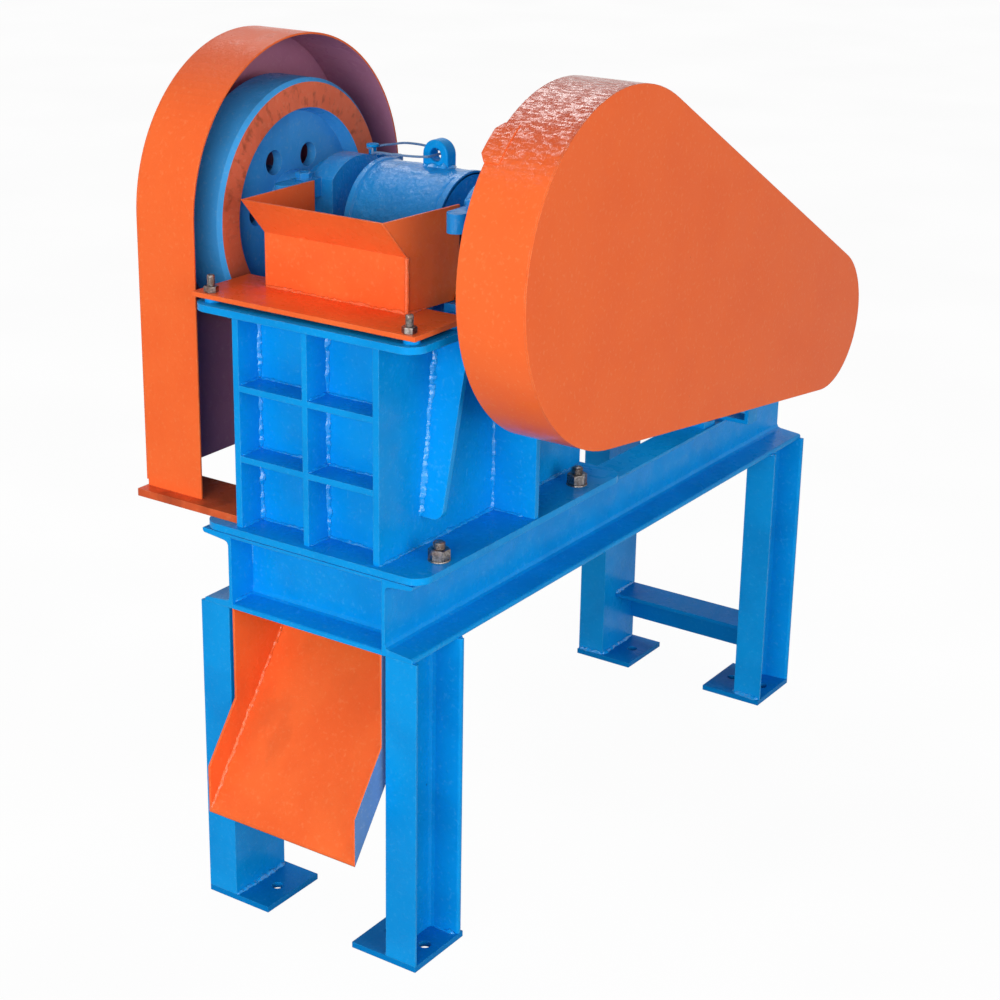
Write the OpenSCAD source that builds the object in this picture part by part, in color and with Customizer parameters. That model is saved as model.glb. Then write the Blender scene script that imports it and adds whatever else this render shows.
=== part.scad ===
// Laboratory jaw crusher on a welded channel stand, with a belt drive.
// Millimetres. X runs across the machine, flywheel on -X and belt guard on +X.
// Y runs from the chute end to the motor end, and Z is up. The origin is on the
// floor, in the middle of the anchor bolt holes.

/* [Stand] */
// Length of the stand over the beams
stand_l = 1040; // [980:10:1250]
// Height of the stand, floor to the top of the beams
stand_h = 525; // [430:5:640]
// Depth of the rolled channel
channel_h = 100; // [80:1:120]
// Width of a channel flange
channel_b = 46; // [40:1:56]
// Thickness of the channel web
channel_web = 4.5; // [4:0.5:7]
// Thickness of a channel flange
channel_flange = 7.6; // [6:0.2:10]
// Distance between the backs of the two long beams
beam_gap = 236; // [230:2:260]
// Distance between the web backs of a pair of posts
post_gap = 248; // [244:2:280]

/* [Foot plates and brace] */
// Thickness of a foot plate
foot_t = 8; // [6:1:12]
// Width of a foot plate across the machine
foot_w = 100; // [90:2:112]
// How far a foot plate runs past the post it carries
foot_lap = 5; // [0:1:20]
// Diameter of an anchor hole
anchor_d = 16; // [12:1:20]
// Leg of the angle that braces the rear posts
brace_leg = 60; // [40:2:80]
// Thickness of that angle
brace_t = 6; // [4:1:8]
// Height of the brace above the floor
brace_z = 107; // [80:1:250]

/* [Crusher body] */
// Width over the side plates
body_w = 222; // [200:2:232]
// Height of the side plates
body_h = 273; // [220:1:300]
// Length of the side plates at the bottom
body_l = 453; // [430:1:480]
// Setback of the body from the front of the stand
body_set = 5; // [0:1:20]
// Thickness of the side plates and the front wall
body_t = 9; // [7:1:14]
// Thickness of the ribs
rib_t = 8; // [6:1:12]
// Depth of the ribs in front of the front wall
rib_d = 40; // [30:1:50]
// Thickness of the base flange and the top flange
flange_t = 9; // [7:1:14]
// Thickness of the packing under the base flange
pack_t = 3; // [2:1:6]
// Width of the base flange
base_w = 340; // [330:2:350]
// How far the base flange is off the machine's centre line
base_off = 8; // [0:1:10]
// Width of the top flange
top_w = 340; // [320:2:344]
// Length of the top flange
top_l = 350; // [340:2:370]
// Corner radius of the flanges
flange_r = 24; // [10:1:40]

/* [Jaws] */
// Throw of the eccentric
throw = 5; // [3:0.5:7]
// Radius of the swing jaw head
head_r = 76; // [66:1:80]
// Length of the swing jaw head
head_l = 140; // [120:2:142]
// Thickness of the jaw plates
jaw_plate_t = 20; // [14:1:26]
// Gap between the jaw plates at the top
jaw_gape = 68; // [50:1:76]
// Gap between the jaw plates at the bottom
jaw_set = 21; // [16:1:30]
// Side clearance of the jaw in the body
jaw_side_gap = 9; // [6:1:14]
// Thickness of the toggle plate
toggle_t = 16; // [10:1:20]

/* [Shaft and wheels] */
// Height of the shaft above the top flange
shaft_lift = 71; // [69:1:86]
// Distance of the shaft behind the front of the stand
shaft_set = 246; // [244:1:252]
// Radius of the shaft at the bearings
shaft_r = 25; // [20:1:30]
// Radius of the eccentric
eccentric_r = 34; // [32:1:40]
// Radius of a bearing housing
housing_r = 79; // [70:1:84]
// Width of a bearing housing, front to back
housing_w = 112; // [100:1:130]
// Length of a bearing housing, without its cover
housing_l = 32; // [26:1:44]
// Gap between the jaw head and a housing
housing_gap = 30; // [20:1:36]
// Radius of the flywheel
flywheel_r = 166; // [150:1:180]
// Width of the flywheel rim
flywheel_w = 66; // [50:1:70]
// Radial depth of the flywheel rim
flywheel_rim = 38; // [26:1:46]
// Radius of a lightening hole
hole_r = 16; // [10:1:18]
// Radius of the crusher pulley
pulley_r = 160; // [140:1:170]
// Radius of the motor pulley
motor_pulley_r = 64; // [56:1:70]
// Number of V-belts
belts = 3; // [2:1:3]
// Spacing of the belt grooves
belt_pitch = 19; // [17:1:20]

/* [Guards] */
// Thickness of the guard sheet
sheet_t = 2.5; // [1.5:0.5:4]
// Gap between the flywheel and its hoop
hoop_gap = 43.5; // [34:0.5:50]
// Height of the hoop's centre above the shaft
hoop_lift = 12; // [0:1:14]
// Distance of the hoop's centre in front of the shaft
hoop_set = 3.5; // [0:0.5:12]
// Width of the flywheel hoop
hoop_w = 91; // [84:1:100]
// Width of the belt guard
guard_w = 94; // [90:1:110]
// Gap round the crusher pulley inside the belt guard
guard_gap = 55.5; // [46:0.5:60]
// Depth of the belt guard's middle below the shaft
guard_drop = 10; // [0:1:12]
// Gap round the motor pulley inside the belt guard
guard_gap_small = 33.5; // [25:0.5:45]
// Thickness of the hoop's foot plates
guard_foot_t = 10; // [6:1:12]

/* [Hopper] */
// Width of the hopper box
hopper_w = 216; // [190:1:218]
// How far the hopper box is off the machine's centre line
hopper_off = -10; // [-16:0.5:0]
// Height of the hopper box
hopper_h = 116; // [90:1:140]
// Height of the upright part of the hopper front
hopper_fold = 68; // [50:1:80]
// How far the hopper front leans out above the fold
hopper_flare = 43; // [20:1:50]
// How far the right wall of the hopper opens out towards the jaw, degrees
hopper_splay = 5; // [0:0.5:5]
// Length of the hopper side walls at the bottom
hopper_l = 95; // [80:1:96]
// Thickness of the hopper sheet
hopper_t = 3; // [2:0.5:4]
// Thickness of the hopper base plate
hopper_plate_t = 6; // [4:1:8]
// Height of the spacers under the hopper base plate
spacer_h = 5; // [3:1:8]

/* [Motor] */
// Shaft height of the motor
motor_h = 112; // [100:1:132]
// Radius of the motor frame
motor_r = 90; // [80:1:98]
// Distance of the motor shaft behind the crusher shaft
motor_set = 577; // [560:1:620]
// Radius of the motor shaft
motor_shaft_r = 14; // [10:1:16]
// Depth of the channel bars under the motor
bar_h = 50; // [40:1:65]
// Flange width of those bars
bar_b = 32; // [28:1:38]

/* [Chute] */
// Slope of the chute floor, degrees from level
chute_slope = 54; // [48:1:58]
// Height of the chute lip above the floor
chute_lip_z = 160; // [120:5:220]
// How far the chute lip reaches past the front of the stand
chute_reach = 55; // [30:1:90]
// Upright height of the chute sides
chute_side_h = 65; // [40:1:80]
// Thickness of the chute sheet
chute_t = 3; // [2:0.5:4]

/* [Hidden] */
$fn = 96;

blue = [0.0, 0.5, 0.88];
orange = [1.0, 0.42, 0.2];
steel = [0.6, 0.6, 0.6];
rubber = [0.08, 0.08, 0.08];

running_fit = 0.05;
bolt_gauge = 25;

// Stand
front = -stand_l / 2;
rear = stand_l / 2;
beam_x = beam_gap / 2;
post_x = post_gap / 2;
post_h = stand_h - channel_h - foot_t;
foot_d = channel_h + foot_lap;
anchor_y = channel_h / 2;
anchor_out_x = post_x + 25;
anchor_in_x = post_x - 29;

// Crusher body
body_x = body_w / 2;
inner_x = body_x - body_t;
body_y = front + body_set;
body_z = stand_h + pack_t + flange_t;
body_top = body_z + body_h;
deck_z = body_top + flange_t;
wall_y = body_y + rib_d;
chamber_y = wall_y + body_t;
base_y0 = front - 4;
base_y1 = body_y + body_l + 8;
top_y0 = front - 5;
rear_edge_h = 100;
rear_slope = 120;
opening_y1 = top_y0 + top_l - 23;

// Shaft
shaft_y = front + shaft_set;
shaft_z = deck_z + shaft_lift;
head_x = head_l / 2;
head_y = shaft_y + throw;
housing_x = head_x + housing_gap;
housing_end = housing_x + housing_l;
cover_t = 19;
cover_r = 68;
cover_end = housing_end + cover_t;

// Flywheel: its inner face stands clear of the top flange
wheel_x = top_w / 2 + 22;
wheel_end = wheel_x + flywheel_w;
web_in = 20;
web_t = 14;
hub_r = 46;
hub_start = cover_end + 6;
hole_ring_r = 70;
holes = 6;

// Belt drive
guard_x0 = top_w / 2 + 32;
guard_x1 = guard_x0 + guard_w;
groove_edge = 12.5;
pulley_w = 2 * groove_edge + (belts - 1) * belt_pitch;
pulley_x = guard_x0 + 16;
pulley_hub_x = cover_end + 6;
motor_y = shaft_y + motor_set;
motor_z = stand_h + bar_h + motor_h;
guard_r = pulley_r + guard_gap + sheet_t;
guard_r_small = motor_pulley_r + guard_gap_small + sheet_t;

// Jaws
jaw_x = inner_x - jaw_side_gap;
fixed_y = chamber_y + jaw_plate_t + 5;
jaw_foot_z = body_z + 8;
jaw_top_z = deck_z - throw - 6;
jaw_lean = (jaw_gape - jaw_set) / (jaw_top_z - jaw_foot_z);
seat_y = head_y - 35;
seat_z = body_z + 55;
block_y = body_y + body_l - 58;

// Hopper
hopper_z = deck_z + spacer_h + hopper_plate_t;
hopper_y = front + 78;
hopper_x0 = hopper_off - hopper_w / 2;
hopper_x1 = hopper_off + hopper_w / 2;
hopper_bolt_x = 150;
hopper_bolt_y = front + 16;

// Guards
hoop_r = flywheel_r + hoop_gap + sheet_t;
hoop_end = wheel_x + hoop_w;
hoop_y = shaft_y - hoop_set;
hoop_z = shaft_z + hoop_lift;
guard_foot_w = 85;
guard_foot_z = body_z + guard_foot_t;

// Lug and wire
lug_x = 12;
lug_w = 38;
lug_t = 20;
lug_dy = 12;
lug_top = 34;
lug_hole_r = 8;
stud_x = -108;
stud_dy = 38;
stud_z = shaft_z + sqrt(housing_r * housing_r - stud_dy * stud_dy);
stud_r = 5;
stud_h = 14;
lug_hole_z = head_r + 15;
wire_r = 1.6;

// ---- helpers ----

// Extrudes a Y-Z outline along X, from x0 to x1
module slab_x(x0, x1) {
    translate([x0, 0, 0]) rotate([90, 0, 90]) linear_extrude(x1 - x0) children();
}

// Extrudes an X-Z outline along Y, from y0 to y1
module slab_y(y0, y1) {
    translate([0, y1, 0]) rotate([90, 0, 0]) linear_extrude(y1 - y0) children();
}

// Cylinder along X
module rod_x(x0, x1, r) {
    translate([x0, 0, 0]) rotate([0, 90, 0]) cylinder(h = x1 - x0, r = r);
}

module both_sides() {
    children();
    mirror([1, 0, 0]) children();
}

module box(a, b) {
    translate(a) cube(b - a);
}

module rounded_2d(a, b, r) {
    translate([a[0] + r, a[1]]) square([b[0] - a[0] - 2 * r, b[1] - a[1]]);
    translate([a[0], a[1] + r]) square([b[0] - a[0], b[1] - a[1] - 2 * r]);
    for (x = [a[0] + r, b[0] - r], y = [a[1] + r, b[1] - r]) translate([x, y]) circle(r);
}

// Rolled channel section with flanges that taper by one in ten: back on x = 0, flanges towards +x
module channel_2d(h, b, web, flange) {
    fall = (b - web) / 20;
    toe = flange - fall;
    root = flange + fall;
    r = flange * 0.8;
    half = [[web, root + 0.9 * r], [web + 0.3 * r, root + 0.2 * r], [web + r, root - r / 10],
        [b - toe * 0.5, toe * 1.05], [b - toe * 0.15, toe * 0.85], [b, toe * 0.5], [b, 0], [0, 0]];
    polygon(concat(half, [for (i = [len(half) - 1 : -1 : 0]) [half[i][0], h - half[i][1]]]));
}

module stand_channel_2d() {
    channel_2d(channel_h, channel_b, channel_web, channel_flange);
}

// Solid loop drawn tight round two circles in the Y-Z plane, from x0 to x1. The big one can
// stand below the shaft.
module loop(x0, x1, r_big, r_small, drop = 0) {
    big_z = shaft_z - drop;
    dy = motor_y - shaft_y;
    dz = motor_z - big_z;
    tilt = atan2(dz, dy);
    lead = acos((r_big - r_small) / norm([dy, dz]));
    ease = 0.02;
    function on_big(a) = [shaft_y + (r_big - ease) * cos(a), big_z + (r_big - ease) * sin(a)];
    function on_small(a) = [motor_y + (r_small - ease) * cos(a), motor_z + (r_small - ease) * sin(a)];
    translate([0, shaft_y, big_z]) rod_x(x0, x1, r_big, $fn = 180);
    translate([0, motor_y, motor_z]) rod_x(x0, x1, r_small, $fn = 120);
    slab_x(x0, x1) polygon([on_big(tilt + lead), on_small(tilt + lead),
        on_small(tilt - lead), on_big(tilt - lead)]);
}

// Arch standing on the foot plates, round the flywheel
module arch_2d(r, z0) {
    translate([hoop_y, hoop_z]) circle(r, $fn = 180);
    translate([hoop_y - r, z0]) square([2 * r, hoop_z - z0]);
}

// ---- stand ----

module beam(side) {
    color(blue) mirror([side, 0, 0]) slab_y(front, rear)
        translate([beam_x, stand_h - channel_h]) stand_channel_2d();
}

module beam_left() beam(1);

module beam_right() beam(0);

// Cross beam with its flange tips flush with the beam ends
module cross_beam(end) {
    color(blue) mirror([0, end, 0]) slab_x(-beam_x, beam_x)
        translate([front + channel_b, stand_h - channel_h]) mirror([1, 0]) stand_channel_2d();
}

module beam_front() cross_beam(0);

module beam_rear() cross_beam(1);

module post_pair(end) {
    color(blue) mirror([0, end, 0]) both_sides()
        translate([post_x, front, foot_t]) linear_extrude(post_h) stand_channel_2d();
}

module posts_front() post_pair(0);

module posts_rear() post_pair(1);

module foot_plates() {
    color(blue) for (end = [0, 1]) mirror([0, end, 0]) both_sides() difference() {
        box([post_x + channel_b - foot_w, front, 0], [post_x + channel_b, front + foot_d, foot_t]);
        for (x = [anchor_in_x, anchor_out_x])
            translate([x, front + anchor_y, -1]) cylinder(h = foot_t + 2, d = anchor_d);
    }
}

module rear_brace() {
    back = rear - 3;
    color(blue) slab_x(-post_x, post_x) polygon([[back, brace_z], [back, brace_z - brace_leg],
        [back - brace_t, brace_z - brace_leg], [back - brace_t, brace_z - brace_t],
        [back - brace_leg, brace_z - brace_t], [back - brace_leg, brace_z]]);
}

// ---- crusher body ----

// Base flange on a packing that is set in from its edges
module base_flange() {
    module plate_2d(inset) difference() {
        rounded_2d([base_off - base_w / 2 + inset, base_y0 + inset],
            [base_off + base_w / 2 - inset, base_y1 - inset], flange_r - inset);
        translate([-inner_x, chamber_y]) square([2 * inner_x, block_y - chamber_y - 40]);
    }
    color(blue) translate([0, 0, stand_h]) {
        translate([0, 0, pack_t]) linear_extrude(flange_t) plate_2d(0);
        linear_extrude(pack_t + 1) plate_2d(8);
    }
}

module side_plate(side) {
    color(blue) mirror([side, 0, 0]) slab_x(inner_x, body_x) polygon([[body_y, body_z],
        [body_y + body_l, body_z], [body_y + body_l, body_z + rear_edge_h],
        [body_y + body_l - rear_slope, body_top], [body_y, body_top]]);
}

module side_plate_left() side_plate(1);

module side_plate_right() side_plate(0);

module front_wall() {
    color(blue) box([-inner_x, wall_y, body_z], [inner_x, chamber_y, body_top]);
}

// Upright rib and two shelves, which cut the front into six cells
module front_ribs() {
    color(blue) {
        box([-rib_t / 2, body_y, body_z], [rib_t / 2, wall_y, body_top]);
        for (row = [1, 2]) translate([0, 0, body_z + row * body_h / 3])
            box([-inner_x, body_y, -rib_t / 2], [inner_x, wall_y, rib_t / 2]);
    }
}

// Leaning gusset and upright rib on each side plate
module side_ribs() {
    lean = 7.4;
    gusset_l = 270;
    gusset_top_w = 52;
    gusset_foot_w = 32;
    foot_round = 14;
    color(blue) both_sides() {
        intersection() {
            translate([body_x, body_y + 88, body_z + 38]) rotate([90 - lean, 0, 0])
                linear_extrude(rib_t, center = true) {
                    polygon([[0, 0], [gusset_foot_w - foot_round, 0], [gusset_foot_w, foot_round],
                        [gusset_top_w, gusset_l], [0, gusset_l]]);
                    translate([gusset_foot_w - foot_round, foot_round]) circle(foot_round);
                }
            box([0, body_y, body_z], [base_w, body_y + body_l, body_top]);
        }
    }
    color(blue) for (side = [0, 1]) mirror([side, 0, 0]) box([body_x, body_y + 241, body_z],
        [base_w / 2 - 2 + (1 - 2 * side) * base_off, body_y + 241 + rib_t, body_top]);
}

module top_flange() {
    color(blue) translate([0, 0, body_top]) linear_extrude(flange_t) difference() {
        rounded_2d([-top_w / 2, top_y0], [top_w / 2, top_y0 + top_l], flange_r);
        translate([-inner_x, chamber_y]) square([2 * inner_x, opening_y1 - chamber_y]);
    }
}

// Block across the rear of the body, which takes the toggle
module toggle_block() {
    top = body_z + rear_edge_h;
    color(blue) slab_x(-inner_x, inner_x) polygon([[block_y, seat_z - 30], [body_y + body_l, seat_z - 30],
        [body_y + body_l, top], [block_y + 14, top], [block_y, top - 14]]);
}

module toggle_plate() {
    r = toggle_t / 2;
    open_pivot = 0.5;
    color(steel) slab_x(-jaw_x + 8, jaw_x - 8) {
        translate([seat_y + open_pivot + r, seat_z - r]) square([block_y - seat_y - open_pivot - 2 * r, toggle_t]);
        for (y = [seat_y + open_pivot + r, block_y - r]) translate([y, seat_z]) circle(r);
    }
}

module fixed_jaw_plate() {
    color(steel) box([-jaw_x, chamber_y, jaw_foot_z], [jaw_x, fixed_y, jaw_top_z]);
}

// ---- swing jaw ----

// Y of the swing jaw plate's working face at a height, moved back by an offset
function face_y(z, back = 0) = fixed_y + jaw_set + (z - jaw_foot_z) * jaw_lean + back;

module swing_jaw() {
    shoulder_z = body_top - 4;
    back = jaw_plate_t;
    color(blue) difference() {
        union() {
            slab_x(-jaw_x, jaw_x) polygon([[face_y(shoulder_z, back), shoulder_z],
                [face_y(jaw_foot_z, back), jaw_foot_z], [seat_y - 40, jaw_foot_z],
                [seat_y, seat_z - 20], [seat_y, seat_z + 20], [seat_y + 15, seat_z + 50],
                [head_y + 35, shoulder_z]]);
            slab_x(-head_x, head_x) {
                polygon([[face_y(shoulder_z - 1, back), shoulder_z - 1],
                    [face_y(jaw_top_z, back), jaw_top_z],
                    [head_y - head_r * 0.9, shaft_z - head_r * 0.4],
                    [head_y + head_r * 0.9, shaft_z - head_r * 0.4],
                    [head_y + 35, shoulder_z - 1]]);
                translate([head_y, shaft_z]) circle(head_r);
            }
        }
        translate([0, head_y, shaft_z]) rod_x(-head_x - 1, head_x + 1, eccentric_r + running_fit);
    }
}

module swing_jaw_plate() {
    color(steel) slab_x(-jaw_x, jaw_x) polygon([[face_y(jaw_top_z), jaw_top_z],
        [face_y(jaw_foot_z), jaw_foot_z], [face_y(jaw_foot_z, jaw_plate_t), jaw_foot_z],
        [face_y(jaw_top_z, jaw_plate_t), jaw_top_z]]);
}

// Round-topped lug, cut to sit on the jaw head
module lifting_lug() {
    top_z = shaft_z + head_r + lug_top;
    color(blue) difference() {
        slab_y(head_y + lug_dy - lug_t / 2, head_y + lug_dy + lug_t / 2) {
            translate([lug_x - lug_w / 2, shaft_z + head_r - 14])
                square([lug_w, lug_top + 14 - lug_w / 2]);
            translate([lug_x, top_z - lug_w / 2]) circle(lug_w / 2);
        }
        translate([0, head_y, shaft_z]) rod_x(-head_x, head_x, head_r);
        translate([lug_x, head_y + lug_dy + lug_t, shaft_z + lug_hole_z])
            rotate([90, 0, 0]) cylinder(h = 2 * lug_t, r = lug_hole_r);
    }
}

// Stud on the left housing, which holds the far end of the wire
module wire_stud() {
    color(steel) difference() {
        translate([stud_x, shaft_y + stud_dy, stud_z - 6]) {
            cylinder(h = stud_h + 6, r = stud_r);
            translate([0, 0, stud_h + 6]) cylinder(h = 3, r = stud_r + 3);
        }
        translate([0, shaft_y, shaft_z]) rod_x(-housing_end, -housing_x, housing_r);
    }
}

// Closed wire loop, loose in the lug and tight round the stud. Points are given from the
// middle of the lug's hole, and the turn's own from the stud.
wire_y = lug_t / 2 + 2 * throw + 6;
wire_z = stud_z + stud_h - wire_r - shaft_z - lug_hole_z;
turn_x = stud_x - lug_x;
turn_y = stud_dy - throw - lug_dy;
turn = stud_r + wire_r + 0.2;
wire_points = [[0, -wire_y + 5, 0], [-4, -wire_y, 0], [-14, -wire_y - 1, -1], [-30, -wire_y - 1, -2],
    [-54, -wire_y - 1, -3], [-78, -24, -4], [-92, -15, -9], [-104, -1, -12],
    [-113, turn_y - turn - 3, wire_z], [turn_x, turn_y - turn, wire_z],
    [turn_x - turn * 0.71, turn_y - turn * 0.71, wire_z], [turn_x - turn, turn_y, wire_z],
    [turn_x - turn * 0.71, turn_y + turn * 0.71, wire_z], [turn_x, turn_y + turn, wire_z],
    [-108, turn_y + turn + 2, wire_z + 3], [-92, 28, -3], [-74, 26, 1],
    [-50, 22, 3], [-30, 20, 2.5], [-12, 18, 1], [-3, 16, 0], [0, 12, 0]];
wire_steps = 3;
wire_sides = 6;

function wrap(i) = (i + len(wire_points)) % len(wire_points);

// Point on the smooth closed curve through the wire's points
function curve_at(i, t) = let (p0 = wire_points[wrap(i - 1)], p1 = wire_points[wrap(i)],
    p2 = wire_points[wrap(i + 1)], p3 = wire_points[wrap(i + 2)])
    0.5 * (2 * p1 + (p2 - p0) * t + (2 * p0 - 5 * p1 + 4 * p2 - p3) * t * t
        + (3 * p1 - p0 - 3 * p2 + p3) * t * t * t);

module lifting_wire() {
    path = [for (i = [0 : len(wire_points) - 1], s = [0 : wire_steps - 1]) curve_at(i, s / wire_steps)];
    n = len(path);
    rings = [for (i = [0 : n - 1]) let (d = path[(i + 1) % n] - path[(i + n - 1) % n],
        t = d / norm(d), side = cross(t, [0, 0, 1]), u = side / norm(side), v = cross(u, t))
        [for (k = [0 : wire_sides - 1]) path[i] + wire_r * (cos(k * 360 / wire_sides) * u
            + sin(k * 360 / wire_sides) * v)]];
    color(blue) translate([lug_x, head_y + lug_dy, shaft_z + lug_hole_z])
        polyhedron([for (ring = rings) for (p = ring) p],
            [for (i = [0 : n - 1], k = [0 : wire_sides - 1]) let (j = (i + 1) % n, m = (k + 1) % wire_sides)
                [i * wire_sides + k, j * wire_sides + k, j * wire_sides + m, i * wire_sides + m]]);
}

// ---- shaft, bearings and wheels ----

// Bearing block with two feet, two cap ears and an outer cover
module housing(side) {
    foot_l = 96;
    foot_h = spacer_h + hopper_plate_t - 1;
    ear_x = housing_end - 2;
    ear_w = 24;
    ear_l = 126 - ear_w / 2;
    ear_z = shaft_z + 33;
    half = housing_w / 2;
    color(blue) mirror([side, 0, 0]) difference() {
        union() {
            intersection() {
                translate([0, shaft_y, shaft_z]) rod_x(housing_x, housing_end, housing_r);
                box([housing_x, shaft_y - half, deck_z],
                    [housing_end, shaft_y + half, shaft_z + housing_r + 1]);
            }
            box([housing_x, shaft_y - half, deck_z], [housing_end, shaft_y + half, shaft_z]);
            box([housing_x, shaft_y - foot_l, deck_z], [housing_end, shaft_y + foot_l, deck_z + foot_h]);
            translate([0, shaft_y, shaft_z]) rod_x(housing_end, cover_end, cover_r);
            box([ear_x - ear_w / 2, shaft_y - ear_l, ear_z],
                [ear_x + ear_w / 2, shaft_y + ear_l, ear_z + 24]);
            for (s = [-1, 1]) translate([ear_x, shaft_y + s * ear_l, ear_z])
                cylinder(h = 24, r = ear_w / 2);
        }
        translate([0, shaft_y, shaft_z]) rod_x(housing_x - 1, cover_end + 1, shaft_r + running_fit);
    }
}

module housing_left() housing(1);

module housing_right() housing(0);

module eccentric_shaft() {
    color(steel) {
        translate([0, shaft_y, shaft_z]) rod_x(-wheel_end - 8, pulley_x + pulley_w + 5, shaft_r);
        translate([0, head_y, shaft_z]) rod_x(-head_x - 2, head_x + 2, eccentric_r);
    }
}

// Wheel outline is given as radius and distance out from the wheel's inner face
module flywheel() {
    color(blue) translate([-wheel_x, shaft_y, shaft_z]) rotate([0, -90, 0]) difference() {
        rotate_extrude($fn = 180) polygon([[shaft_r, hub_start - wheel_x], [hub_r, hub_start - wheel_x],
            [hub_r, web_in], [flywheel_r - flywheel_rim - 6, web_in], [flywheel_r - flywheel_rim, 0],
            [flywheel_r - 5, 0], [flywheel_r, 5], [flywheel_r, flywheel_w - 5],
            [flywheel_r - 5, flywheel_w], [flywheel_r - flywheel_rim, flywheel_w],
            [flywheel_r - flywheel_rim - 6, web_in + web_t], [hub_r, web_in + web_t],
            [hub_r, flywheel_w], [shaft_r, flywheel_w]]);
        for (i = [0 : holes - 1]) rotate([0, 0, (i + 0.5) * 360 / holes])
            translate([hole_ring_r, 0, 0]) cylinder(h = flywheel_w, r = hole_r);
    }
}

// Grooved pulley turned about Z, with its inner face on z = 0
module grooved_pulley(r, bore_r, hub_from, solid) {
    groove_top = 8.5;
    groove_root = 5.5;
    groove_d = 14;
    rim_in = solid ? bore_r : r - groove_d - 12;
    rotate_extrude($fn = 180) {
        difference() {
            translate([rim_in, 0]) square([r - rim_in, pulley_w]);
            for (i = [0 : belts - 1]) translate([r, groove_edge + i * belt_pitch])
                polygon([[1, -groove_top - 0.5], [1, groove_top + 0.5], [-groove_d, groove_root],
                    [-groove_d, -groove_root]]);
        }
        if (!solid) translate([hub_r - 1, pulley_w / 2 - 9]) square([rim_in - hub_r + 2, 18]);
        translate([bore_r, hub_from]) square([hub_r - bore_r, pulley_w - hub_from]);
    }
}

module crusher_pulley() {
    color(blue) translate([pulley_x, shaft_y, shaft_z]) rotate([0, 90, 0])
        grooved_pulley(pulley_r, shaft_r, pulley_hub_x - pulley_x, false);
}

module motor_pulley() {
    color(steel) {
        translate([pulley_x, motor_y, motor_z]) rotate([0, 90, 0])
            grooved_pulley(motor_pulley_r, motor_shaft_r, 0, true);
        translate([0, motor_y, motor_z]) rod_x(motor_x1 - 40, pulley_x + pulley_w, motor_shaft_r);
    }
}

module v_belts() {
    belt_w = 11.8;
    belt_h = 10;
    color(rubber) for (i = [0 : belts - 1]) {
        mid = pulley_x + groove_edge + i * belt_pitch;
        difference() {
            loop(mid - belt_w / 2, mid + belt_w / 2, pulley_r, motor_pulley_r);
            loop(mid - belt_w, mid + belt_w, pulley_r - belt_h, motor_pulley_r - belt_h);
        }
    }
}

// ---- hopper ----

module hopper_plate() {
    color(orange) difference() {
        box([-top_w / 2 - 4, front + 5, hopper_z - hopper_plate_t], [top_w / 2 - 8, front + 112, hopper_z]);
        box([hopper_x0 + hopper_t, hopper_y + hopper_t, hopper_z - hopper_plate_t - 1],
            [hopper_x1 - hopper_t, front + 113, hopper_z + 1]);
    }
}

module hopper_front() {
    lean_y = hopper_y - hopper_flare;
    fold_z = hopper_z + hopper_fold;
    top_z = hopper_z + hopper_h;
    function side_x(y) = hopper_x1 - hopper_t / cos(hopper_splay) + (y - hopper_y) * tan(hopper_splay);
    color(orange) intersection() {
        slab_x(hopper_x0 + hopper_t, hopper_x1 + 10) polygon([[hopper_y, hopper_z],
            [hopper_y + hopper_t, hopper_z], [hopper_y + hopper_t, fold_z],
            [lean_y + hopper_t * 1.3, top_z], [lean_y, top_z], [hopper_y, fold_z]]);
        translate([0, 0, hopper_z - 1]) linear_extrude(hopper_h + 2) polygon([[hopper_x0, lean_y - 1],
            [side_x(lean_y - 1), lean_y - 1], [side_x(hopper_y + 5), hopper_y + 5], [hopper_x0, hopper_y + 5]]);
    }
}

module hopper_side_2d() {
    polygon([[0, 0], [hopper_l, 0], [hopper_l, hopper_h], [-hopper_flare, hopper_h], [0, hopper_fold]]);
}

module hopper_sides() {
    color(orange) {
        slab_x(hopper_x0, hopper_x0 + hopper_t) translate([hopper_y, hopper_z]) hopper_side_2d();
        translate([hopper_x1, hopper_y, hopper_z]) rotate([0, 0, -hopper_splay]) slab_x(-hopper_t, 0) hopper_side_2d();
    }
}

module hopper_spacers() {
    color(blue) for (x = [-hopper_bolt_x, hopper_bolt_x], y = [0, 82])
        translate([x, hopper_bolt_y + y, deck_z]) cylinder(h = spacer_h, r = 10);
}

// ---- guards ----

module flywheel_guard_band() {
    color(orange) slab_x(-hoop_end, -wheel_x) difference() {
        arch_2d(hoop_r, guard_foot_z);
        arch_2d(hoop_r - sheet_t, guard_foot_z - 1);
    }
}

module flywheel_guard_side() {
    color(orange) slab_x(-hoop_end - sheet_t, -hoop_end) arch_2d(hoop_r, guard_foot_z + 8);
}

module flywheel_guard_feet() {
    toe = 18;
    leg_y = [hoop_y - hoop_r - toe, hoop_y + hoop_r + toe - guard_foot_w];
    color(orange) for (y = leg_y)
        box([-hoop_end - sheet_t, y, body_z], [-body_x, y + guard_foot_w, guard_foot_z]);
}

module belt_guard_band() {
    color(orange) difference() {
        loop(guard_x0, guard_x1 - sheet_t, guard_r, guard_r_small, guard_drop);
        loop(guard_x0 - 1, guard_x1, guard_r - sheet_t, guard_r_small - sheet_t, guard_drop);
    }
}

module belt_guard_face() {
    color(orange) loop(guard_x1 - sheet_t, guard_x1, guard_r, guard_r_small, guard_drop);
}

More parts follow.
